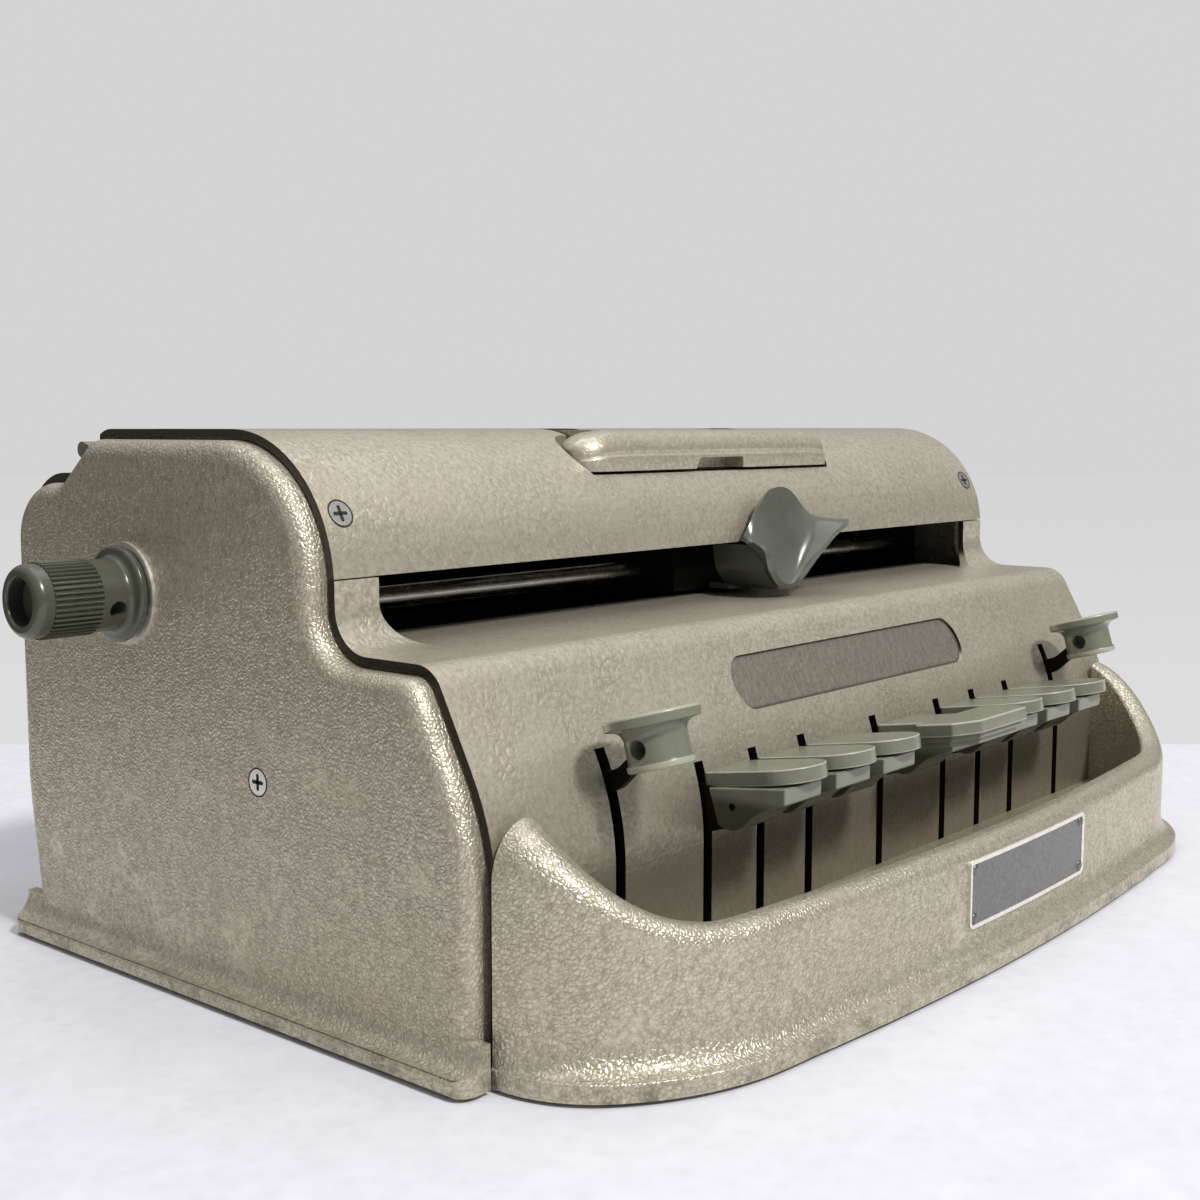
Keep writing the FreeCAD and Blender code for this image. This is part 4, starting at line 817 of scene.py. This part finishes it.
def disc_key(name, x):
    """Finger disc on a flared stem, with a rim round its foot and a blind hole in its side."""
    profile = [(0, -0.35), (DISC_RADIUS - 2.2, -0.15)]
    profile += arc(DISC_RADIUS - DISC_EDGE, -DISC_EDGE, DISC_EDGE, DISC_EDGE, 90, 0, 4)
    profile += arc(DISC_RADIUS - 0.5, -2.3, 0.5, 0.5, 0, -90, 3)
    profile += arc(DISC_BODY + 2.8, -5.6, 2.8, 2.6, 95, 180, 8)
    profile += [(DISC_BODY, -DISC_DROP + 2.2), (DISC_BODY + DISC_FOOT, -DISC_DROP + 1.6)]
    profile += arc(DISC_BODY, -DISC_DROP + DISC_FOOT, DISC_FOOT, DISC_FOOT, 0, -90, 3)
    profile += [(DISC_BODY - 1.4, -DISC_DROP), (0, -DISC_DROP)]
    bm = revolve(profile, "Z", 72)
    # The rim and the foot's edge get the pale plastic: wear, and painted highlight.
    for face in bm.faces:
        middle = face.calc_center_median()
        reach = math.hypot(middle.x, middle.y)
        rim = reach > DISC_RADIUS - 0.72 and middle.z > -0.8
        foot = DISC_BODY + 0.1 < reach < DISC_BODY + 0.6 and middle.z < 1.7 - DISC_DROP
        if rim or foot:
            face.material_index = 1
    turn = Matrix.Translation((x, DISC_Y, DISC_Z)) @ Matrix.Rotation(math.radians(-DISC_TILT), 4, "X")
    bmesh.ops.transform(bm, matrix=turn, verts=bm.verts)
    obj = piece(name + "_moulding", bm, "key_plastic", name + "_key", [name + "_key_top"], 50)
    hole_place = turn @ Vector((-DISC_RADIUS, 0, DISC_HOLE_HIGH - DISC_DROP))
    carve(obj, [rod(DISC_HOLE, hole_place, (1, 0, 0), DISC_RADIUS - 2.5)])


# ---------------------------------------------------------------- carriage lever

SADDLE_MIDDLE = 12.0
SADDLE_FRONT = [(-13.0, -24.0, 108.3), (-12.7, -27.2, 106.3), (-11.2, -28.2, 101.0), (-6.8, -28.2, 96.6),
                (-1.5, -28.2, 95.0), (3.5, -28.6, 97.6), (10.0, -29.6, 103.4), (18.0, -31.2, 110.0),
                (24.5, -32.0, 113.6), (28.0, -30.5, 113.9)]
SADDLE_REAR = [(-13.0, -17.6, 108.6), (-12.4, -18.2, 110.6), (-8.5, -18.6, 115.4), (-3.4, -18.8, 120.8),
               (2.6, -19.2, 124.3), (8.6, -19.2, 124.2), (13.4, -19.2, 122.0), (18.0, -19.2, 118.4),
               (22.5, -19.2, 115.4), (28.0, -19.8, 114.2)]
SADDLE_WALL = 1.8
SADDLE_SCOOP = 1.7
SADDLE_ACROSS = 14
NECK = [(-12.4, 107.3), (-12.0, 104.6), (-10.7, 100.9), (-6.4, 96.3), (-1.5, 94.5), (3.5, 97.0)]
NECK_FRONT = -25.0
NECK_REAR = -6.5
NECK_WALL = SADDLE_WALL * 0.8
STRAP_HALF = 7
STRAP_REAR = -1.0
STRAP_LOW = 92.7
STRAP_TOP = 94.5


def saddle_shell():
    """Formed sheet: a trough at the front that rises to a rounded crest behind."""
    middle = Vector((SADDLE_MIDDLE, 0, 0))
    top = []
    for a, b in zip(catmull(SADDLE_FRONT, 8), catmull(SADDLE_REAR, 8)):
        line = []
        for k in range(SADDLE_ACROSS + 1):
            point = a.lerp(b, k / SADDLE_ACROSS) + middle
            point.z = a.z + (b.z - a.z) * (k / SADDLE_ACROSS) ** SADDLE_SCOOP
            line.append(point)
        top.append(line)
    rings = []
    for i, row in enumerate(top):
        before, after = top[max(i - 1, 0)], top[min(i + 1, len(top) - 1)]
        below = []
        for k, point in enumerate(row):
            along = after[k] - before[k]
            across = row[min(k + 1, SADDLE_ACROSS)] - row[max(k - 1, 0)]
            below.append(point - along.cross(across).normalized() * SADDLE_WALL)
        rings.append(row + below[::-1])
    # The sheet's rounded edges get the pale plastic as a painted highlight.
    return round_edges(loft(rings), 0.45, 60, second_tone=True)


def saddle():
    """Finger lever of the carriage: the saddle, its curved neck into the window, and a flat strap."""
    curve = [(v.x + SADDLE_MIDDLE, v.y) for v in catmull([(x, z, 0.0) for x, z in NECK], 6)]
    outline = curve + [(x, z - NECK_WALL) for x, z in reversed(curve)]
    neck = prism(outline, NECK_FRONT, NECK_REAR, "Y")
    left, right = SADDLE_MIDDLE - STRAP_HALF, SADDLE_MIDDLE + STRAP_HALF
    strap = prism([(left, NECK_REAR - 2), (right, NECK_REAR - 2), (right, STRAP_REAR), (left, STRAP_REAR)],
                  STRAP_LOW, STRAP_TOP)
    obj = piece("carriage_finger_lever", joined([saddle_shell(), neck, strap]), "key_plastic",
                "embossing_carriage", ["carriage_lever"], 50)
    obj.data.materials[0] = MATERIALS["saddle_plastic"]


# ---------------------------------------------------------------- carrying handle

GRIP_ENDS = (-60.5, 67.5)
GRIP_FRONT = -7.5
GRIP_DEPTH = 16.5
GRIP_LOW = 130.6
GRIP_HIGH = 142.4
GRIP_DOME = 17.0
GRIP_TIP = 0.44
GRIP_SECTION = [(0.0, 0.0), (0.0, 0.3), (0.02, 0.38), (0.055, 0.42), (0.05, 0.5), (0.075, 0.66), (0.15, 0.84),
                (0.28, 0.96), (0.45, 1.0), (0.62, 1.0), (0.78, 0.95), (0.91, 0.8), (0.98, 0.55), (1.0, 0.3),
                (1.0, 0.0)]
ARM_SPANS = [(-50.0, -38.0), (31.5, 43.5)]
ARM_TOP = GRIP_HIGH - 0.05
HINGE_Y = 41.0
HINGE_BORE = 2.05
NOTCH = [(-11.0, 129.6, 0), (14.0, 129.6, 0), (14.0, 134.0, 1.0), (-8.5, 134.0, 2.5)]
NOTCH_DEPTH = 7.0


def grip_bar():
    """Bar with domed ends: round in plan, and lower towards their tips."""
    steps = 14
    section = [(v.x, v.y) for v in catmull([(u, w, 0.0) for u, w in GRIP_SECTION], 3)]
    inward = [GRIP_DOME * (1 - math.cos(math.pi / 2 * k / steps)) for k in range(1, steps + 1)]
    stations = [(GRIP_ENDS[0] + d, d) for d in inward] + [(GRIP_ENDS[1] - d, d) for d in reversed(inward)]
    rings = []
    for x, near in stations:
        plan = math.sqrt(1 - (1 - min(near / (GRIP_DEPTH / 2), 1.0)) ** 2)
        swell = GRIP_TIP + (1 - GRIP_TIP) * math.sqrt(1 - (1 - near / GRIP_DOME) ** 2)
        front = GRIP_FRONT + GRIP_DEPTH / 2 * (1 - plan)
        rings.append([(x, front + u * GRIP_DEPTH * plan, GRIP_LOW + w * swell * (GRIP_HIGH - GRIP_LOW))
                      for u, w in section])
    return loft(rings)


def handle():
    """Grip bar with a creased front and a finger notch, and two arms back to the hinge."""
    grip = piece("handle_grip", grip_bar(), "hammertone_enamel", "handle", ["carry_handle"], 42)
    carve(grip, [prism(rounded(NOTCH), GRIP_FRONT - 1, GRIP_FRONT + NOTCH_DEPTH, "Y")])
    round_end = (GRIP_HIGH - GRIP_LOW) / 2
    start_y, end_y = GRIP_FRONT + GRIP_DEPTH / 2, HINGE_Y + round_end
    side = rounded([(start_y, GRIP_LOW, 0), (end_y, GRIP_LOW, round_end - 0.01),
                    (end_y, ARM_TOP, round_end - 0.03), (start_y, ARM_TOP, 0)])
    arms = joined([round_edges(prism(side, start, end, "X"), 0.7) for start, end in ARM_SPANS])
    obj = piece("handle_arms", arms, "hammertone_enamel", "handle", (), 42)
    carve(obj, [rod(HINGE_BORE, (start - 1, HINGE_Y, GRIP_LOW + round_end), (1, 0, 0), end - start + 2)
                for start, end in ARM_SPANS])


# ---------------------------------------------------------------- feed knobs

FEED_Y = 59.5
FEED_Z = 100.5
KNOB_START = 168.2
KNOB_LENGTH = 28.6
KNOB_RADIUS = 9.8
KNOB_COLLAR = 9.3
KNOB_FLANGE = 12.5
KNOB_EDGE = 1.1
KNOB_BORE = 5.9
BORE_DEPTH = 6.0
BORE_LIP = 1.4
RIBS_START = 10.6
RIBS_END = RIBS_START + 13.5
RIBS = 44
RIB_FOOT = 9.0
# One rib and the gap after it, as (share of a rib's turn, radius).
RIB_PROFILE = [(0.0, RIB_FOOT), (0.2, KNOB_RADIUS - 0.12), (0.36, KNOB_RADIUS),
               (0.52, KNOB_RADIUS - 0.12), (0.72, RIB_FOOT)]
KNOB_HOLE = 2.35
KNOB_HOLE_X = 6.5
KNOB_HOLE_WAY = (0, -0.94, -0.34)


def knob_profile():
    """(radius, height) points of a flange, a collar, the foot of the ribs and a rounded lip with a bore."""
    end = KNOB_LENGTH
    profile = [(0, 0), (KNOB_FLANGE - 0.5, 0)]
    profile += arc(KNOB_FLANGE - KNOB_EDGE, KNOB_EDGE, KNOB_EDGE, KNOB_EDGE, 0, 90, 5)
    profile += arc(KNOB_COLLAR + 1.4, 4.0, 1.4, 1.6, 260, 180, 6)
    profile += [(KNOB_COLLAR, RIBS_START), (RIB_FOOT - 0.1, RIBS_START + 0.4)]
    profile += [(RIB_FOOT - 0.1, RIBS_END - 0.4), (KNOB_COLLAR, RIBS_END)]
    profile += arc(KNOB_COLLAR - 2.2, end - 2.4, 2.2, 2.4, 0, 80, 7)
    profile += [(KNOB_BORE + 0.5, end - 0.05), (KNOB_BORE, end - 0.7)]
    profile += [(KNOB_BORE, end - BORE_DEPTH), (0, end - BORE_DEPTH)]
    return profile


def knob(side):
    """Knob with a ribbed grip, a bore in its end painted black as shade, and a screw hole in its collar."""
    body = revolve(knob_profile(), "X", 96)
    ribs = []
    for i in range(RIBS):
        for share, radius in RIB_PROFILE:
            turn = 2 * math.pi * (i + share) / RIBS
            ribs.append((math.cos(turn) * radius, math.sin(turn) * radius))
    grip = prism(ribs, RIBS_START, RIBS_END, "X")
    place = Matrix.Translation((side * KNOB_START, FEED_Y, FEED_Z)) @ Matrix.Diagonal((side, 1, 1, 1))
    for bm in (body, grip):
        bmesh.ops.transform(bm, matrix=place, verts=bm.verts)
        if side < 0:
            bmesh.ops.reverse_faces(bm, faces=bm.faces)
    name = "left" if side < 0 else "right"
    obj = piece(name + "_ribbed_knob", body, "key_plastic", "feed_shaft", [name + "_feed_knob"], 40)
    way = Vector(KNOB_HOLE_WAY)
    start = Vector((side * (KNOB_START + KNOB_HOLE_X), FEED_Y, FEED_Z)) + way * 4.5
    carve(obj, [rod(KNOB_HOLE, start, way, 10.0)])
    obj.data.materials[0] = MATERIALS["knob_plastic"]
    # Painted shade: the faces inside the bore get the black material.
    obj.data.materials.append(MATERIALS["shadow_black"])
    lip = KNOB_START + KNOB_LENGTH - BORE_LIP
    for face in obj.data.polygons:
        x, y, z = face.center / MM
        in_bore = math.hypot(y - FEED_Y, z - FEED_Z) < KNOB_BORE + 0.05
        if in_bore and lip - BORE_DEPTH < abs(x) < lip:
            face.material_index = len(obj.data.materials) - 1
    add_shell(obj, grip, 40)


# ---------------------------------------------------------------- screw heads

SHEET = 2.0
BROW_Y = -13.5
BROW_RADIUS = 35.0
COVER_TOP = 140.7
SCREW_HEAD = 3.5
CROSS_REACH = 1.8
CROSS_HALF = 0.48
CROSS_DEPTH = 1.1
PROUD = 0.03                        # how far crosses and rings stand out of a head's face
GAP_SECTION = [(-0.28, 0.1), (-0.28, -PROUD), (0.12, -PROUD), (0.12, 0.1)]
COVER_SCREW_X = 154.5
BROW_CENTRE = (BROW_Y + BROW_RADIUS, COVER_TOP - BROW_RADIUS)
BROW_SCREW_TURN = math.radians(28.0)
COVER_REAR_Y = 55.0
REAR_SCREW = (116.0, 84.0)
END_SCREW = (166.8, 6.4, 58.3)


def screw_places():
    """Face point and inward direction of each screw head."""
    inward = Vector((0, math.cos(BROW_SCREW_TURN), -math.sin(BROW_SCREW_TURN)))
    places = []
    for side in (-1, 1):
        x = side * COVER_SCREW_X
        places.append((Vector((x, *BROW_CENTRE)) - inward * (BROW_RADIUS + SHEET), inward))
        places.append((Vector((x, COVER_REAR_Y, COVER_TOP + SHEET)), (0, 0, -1)))
        places.append((Vector((x, *REAR_SCREW)), (0, -1, 0)))
        places.append((Vector((side * END_SCREW[0], *END_SCREW[1:])), (-side, 0, 0)))
    return places


def screw_gap():
    """Ring of painted shade in the gap round a screw head."""
    rings = []
    for turn in range(0, 361, 10):
        c, s = math.cos(math.radians(turn)), math.sin(math.radians(turn))
        rings.append([((SCREW_HEAD + d) * c, (SCREW_HEAD + d) * s, h) for d, h in GAP_SECTION])
    return loft(rings, closed_ends=False)


def screw_shades():
    """Painted shade: black crosses in the screw heads' recesses, and a black ring in the gap round each head.
    """
    parts = []
    for point, inward in screw_places():
        turn = Vector(inward).normalized().to_track_quat("Z", "Y").to_matrix().to_4x4()
        shades = []
        for wide, tall in ((CROSS_REACH, CROSS_HALF), (CROSS_HALF, CROSS_REACH)):
            corners = [(-wide, -tall), (wide, -tall), (wide, tall), (-wide, tall)]
            shades.append(prism(corners, -PROUD, CROSS_DEPTH))
        shades.append(screw_gap())
        for bm in shades:
            bmesh.ops.transform(bm, matrix=Matrix.Translation(point) @ turn, verts=bm.verts)
        bmesh.ops.remove_doubles(shades[-1], verts=shades[-1].verts, dist=0.001)
        parts += shades
    obj = piece("screw_recess_shades", joined(parts), "dark_steel", "root", (), 30)
    obj.data.materials[0] = MATERIALS["shadow_black"]


build_tray()
label_plate()
screw_shades()
for dot, dot_x in DOT_X.items():
    dot_key(dot, dot_x)
space_key()
disc_key("line_space", -LINE_X)
disc_key("backspace", LINE_X)
saddle()
handle()
for knob_side in (-1, 1):
    knob(knob_side)


# ---------------------------------------------------------------- stage, lights and camera

def length_along(g, vector, way):
    """Length of a vector along a unit direction."""
    return g.add("VectorMath", {"operation": "DOT_PRODUCT"}, {0: vector, 1: way}).outputs["Value"]


def floor_material():
    """Pale pebbled board.  Past the wall's foot the camera sees the wall's tone in its place."""
    g = Graph("floor", Roughness=0.7)
    turn = math.radians(-CAMERA_YAW)
    from_eye = g.add("VectorMath", {"operation": "SUBTRACT"}, {
        0: g.place, 1: tuple(mm(*CAMERA_PLACE))}).outputs[0]
    depth = length_along(g, from_eye, (math.sin(turn), math.cos(turn), 0.0))
    left = length_along(g, from_eye, (-math.cos(turn), math.sin(turn), 0.0))
    pebble = g.add("TexVoronoi", {"feature": "SMOOTH_F1"}, {
        "Vector": g.place, "Scale": 240.0}).outputs["Distance"]
    tone = g.math("MULTIPLY_ADD", g.noise(60.0, 3.0, 0.6), 0.6, g.math("MULTIPLY", pebble, 0.35))
    board = g.ramp(tone, [(0.25, shade(FLOOR_COLOR, 0.95)), (0.7, shade(FLOOR_COLOR, 1.06))])

    camera_ray = g.add("LightPath").outputs["Is Camera Ray"]
    unseen = g.math("SUBTRACT", 1.0, camera_ray)
    past_edge = g.math("SUBTRACT", left, g.math("MULTIPLY", depth, BOARD_SLANT))
    off_board = smooth_step(g, past_edge, BOARD_EDGE, BOARD_EDGE + 0.05)
    board = g.mix(unseen, board, rgba(*BOUNCE_COLOR))
    board = g.mix(g.math("MULTIPLY", off_board, unseen), board, rgba(*TABLE_COLOR))
    g.set(g.shader, {"Base_Color": board, "Normal": g.bump(pebble, 0.0005, 0.4)})

    nearness = g.math("DIVIDE", FLOOR_DEPTH, g.math("MAXIMUM", depth, FLOOR_DEPTH))
    level = g.math("MULTIPLY_ADD", nearness, 0.12, 1.0)
    wall = g.add("Emission", None, {"Color": rgba(*WALL_COLOR), "Strength": level})
    beyond = smooth_step(g, depth, FLOOR_DEPTH - 0.002, FLOOR_DEPTH + 0.002)
    share = g.math("MULTIPLY", beyond, camera_ray)
    mix = g.add("MixShader", None, {0: share, 1: g.shader.outputs[0], 2: wall.outputs[0]})
    g.tree.links.new(mix.outputs[0], g.tree.nodes["Material Output"].inputs["Surface"])
    return g.material


def build_stage():
    mesh = bpy.data.meshes.new("floor")
    corners = [(x * FLOOR_HALF, y * FLOOR_HALF, 0) for x, y in ((-1, -1), (1, -1), (1, 1), (-1, 1))]
    mesh.from_pydata(corners, [], [(0, 1, 2, 3)])
    mesh.materials.append(floor_material())
    floor = bpy.data.objects.new("floor", mesh)
    bpy.context.collection.objects.link(floor)


def build_world():
    """Bright ceiling over a dim horizon for what the part reflects; an even wall for the camera."""
    world = bpy.data.worlds.new("studio")
    bpy.context.scene.world = world
    world.use_nodes = True
    tree = world.node_tree
    back = tree.nodes["Background"]
    sky = tree.nodes.new("ShaderNodeTexCoord")
    parts = tree.nodes.new("ShaderNodeSeparateXYZ")
    tree.links.new(sky.outputs["Generated"], parts.inputs[0])
    ramp = tree.nodes.new("ShaderNodeValToRGB")
    while len(ramp.color_ramp.elements) < len(WORLD_STOPS):
        ramp.color_ramp.elements.new(0.5)
    for element, (where, level) in zip(ramp.color_ramp.elements, WORLD_STOPS):
        element.position = where
        warm = 1.0 - 0.25 * max(0.0, 0.5 - where)
        element.color = rgba(level, level * (1 + warm) / 2, level * warm)
    tree.links.new(parts.outputs["Z"], ramp.inputs["Fac"])
    tree.links.new(ramp.outputs["Color"], back.inputs["Color"])
    back.inputs["Strength"].default_value = WORLD_LEVEL
    seen = tree.nodes.new("ShaderNodeBackground")
    seen.inputs["Color"].default_value = rgba(*WALL_COLOR)
    path = tree.nodes.new("ShaderNodeLightPath")
    mix = tree.nodes.new("ShaderNodeMixShader")
    tree.links.new(path.outputs["Is Camera Ray"], mix.inputs["Fac"])
    tree.links.new(back.outputs[0], mix.inputs[1])
    tree.links.new(seen.outputs[0], mix.inputs[2])
    tree.links.new(mix.outputs[0], tree.nodes["World Output"].inputs["Surface"])


def lamp(name, way, distance, size, power, tint=(1, 1, 1)):
    """Round lamp at a distance along a direction from the part's middle, facing it."""
    data = bpy.data.lights.new(name, "AREA")
    data.shape = "DISK"
    data.size = size
    data.energy = power
    data.color = tint
    obj = bpy.data.objects.new(name, data)
    bpy.context.collection.objects.link(obj)
    middle = Vector((0, 0, 0.06))
    obj.location = middle + Vector(way).normalized() * distance
    obj.rotation_euler = (-Vector(way)).to_track_quat("-Z", "Y").to_euler()


def build_camera():
    data = bpy.data.cameras.new("camera")
    data.lens = CAMERA_LENS
    data.sensor_width = 36.0
    data.clip_start = 0.01
    obj = bpy.data.objects.new("camera", data)
    bpy.context.collection.objects.link(obj)
    obj.location = mm(*CAMERA_PLACE)
    obj.rotation_euler = Euler((math.radians(90 - CAMERA_DOWN), 0, math.radians(CAMERA_YAW)))
    bpy.context.scene.camera = obj


build_stage()
build_world()
lamp("key", KEY_WAY, 3.2, 0.5, KEY_POWER, KEY_TINT)
lamp("ceiling", CEILING_WAY, 2.4, 2.4, CEILING_POWER)
build_camera()
bpy.context.scene.view_settings.view_transform = "Standard"
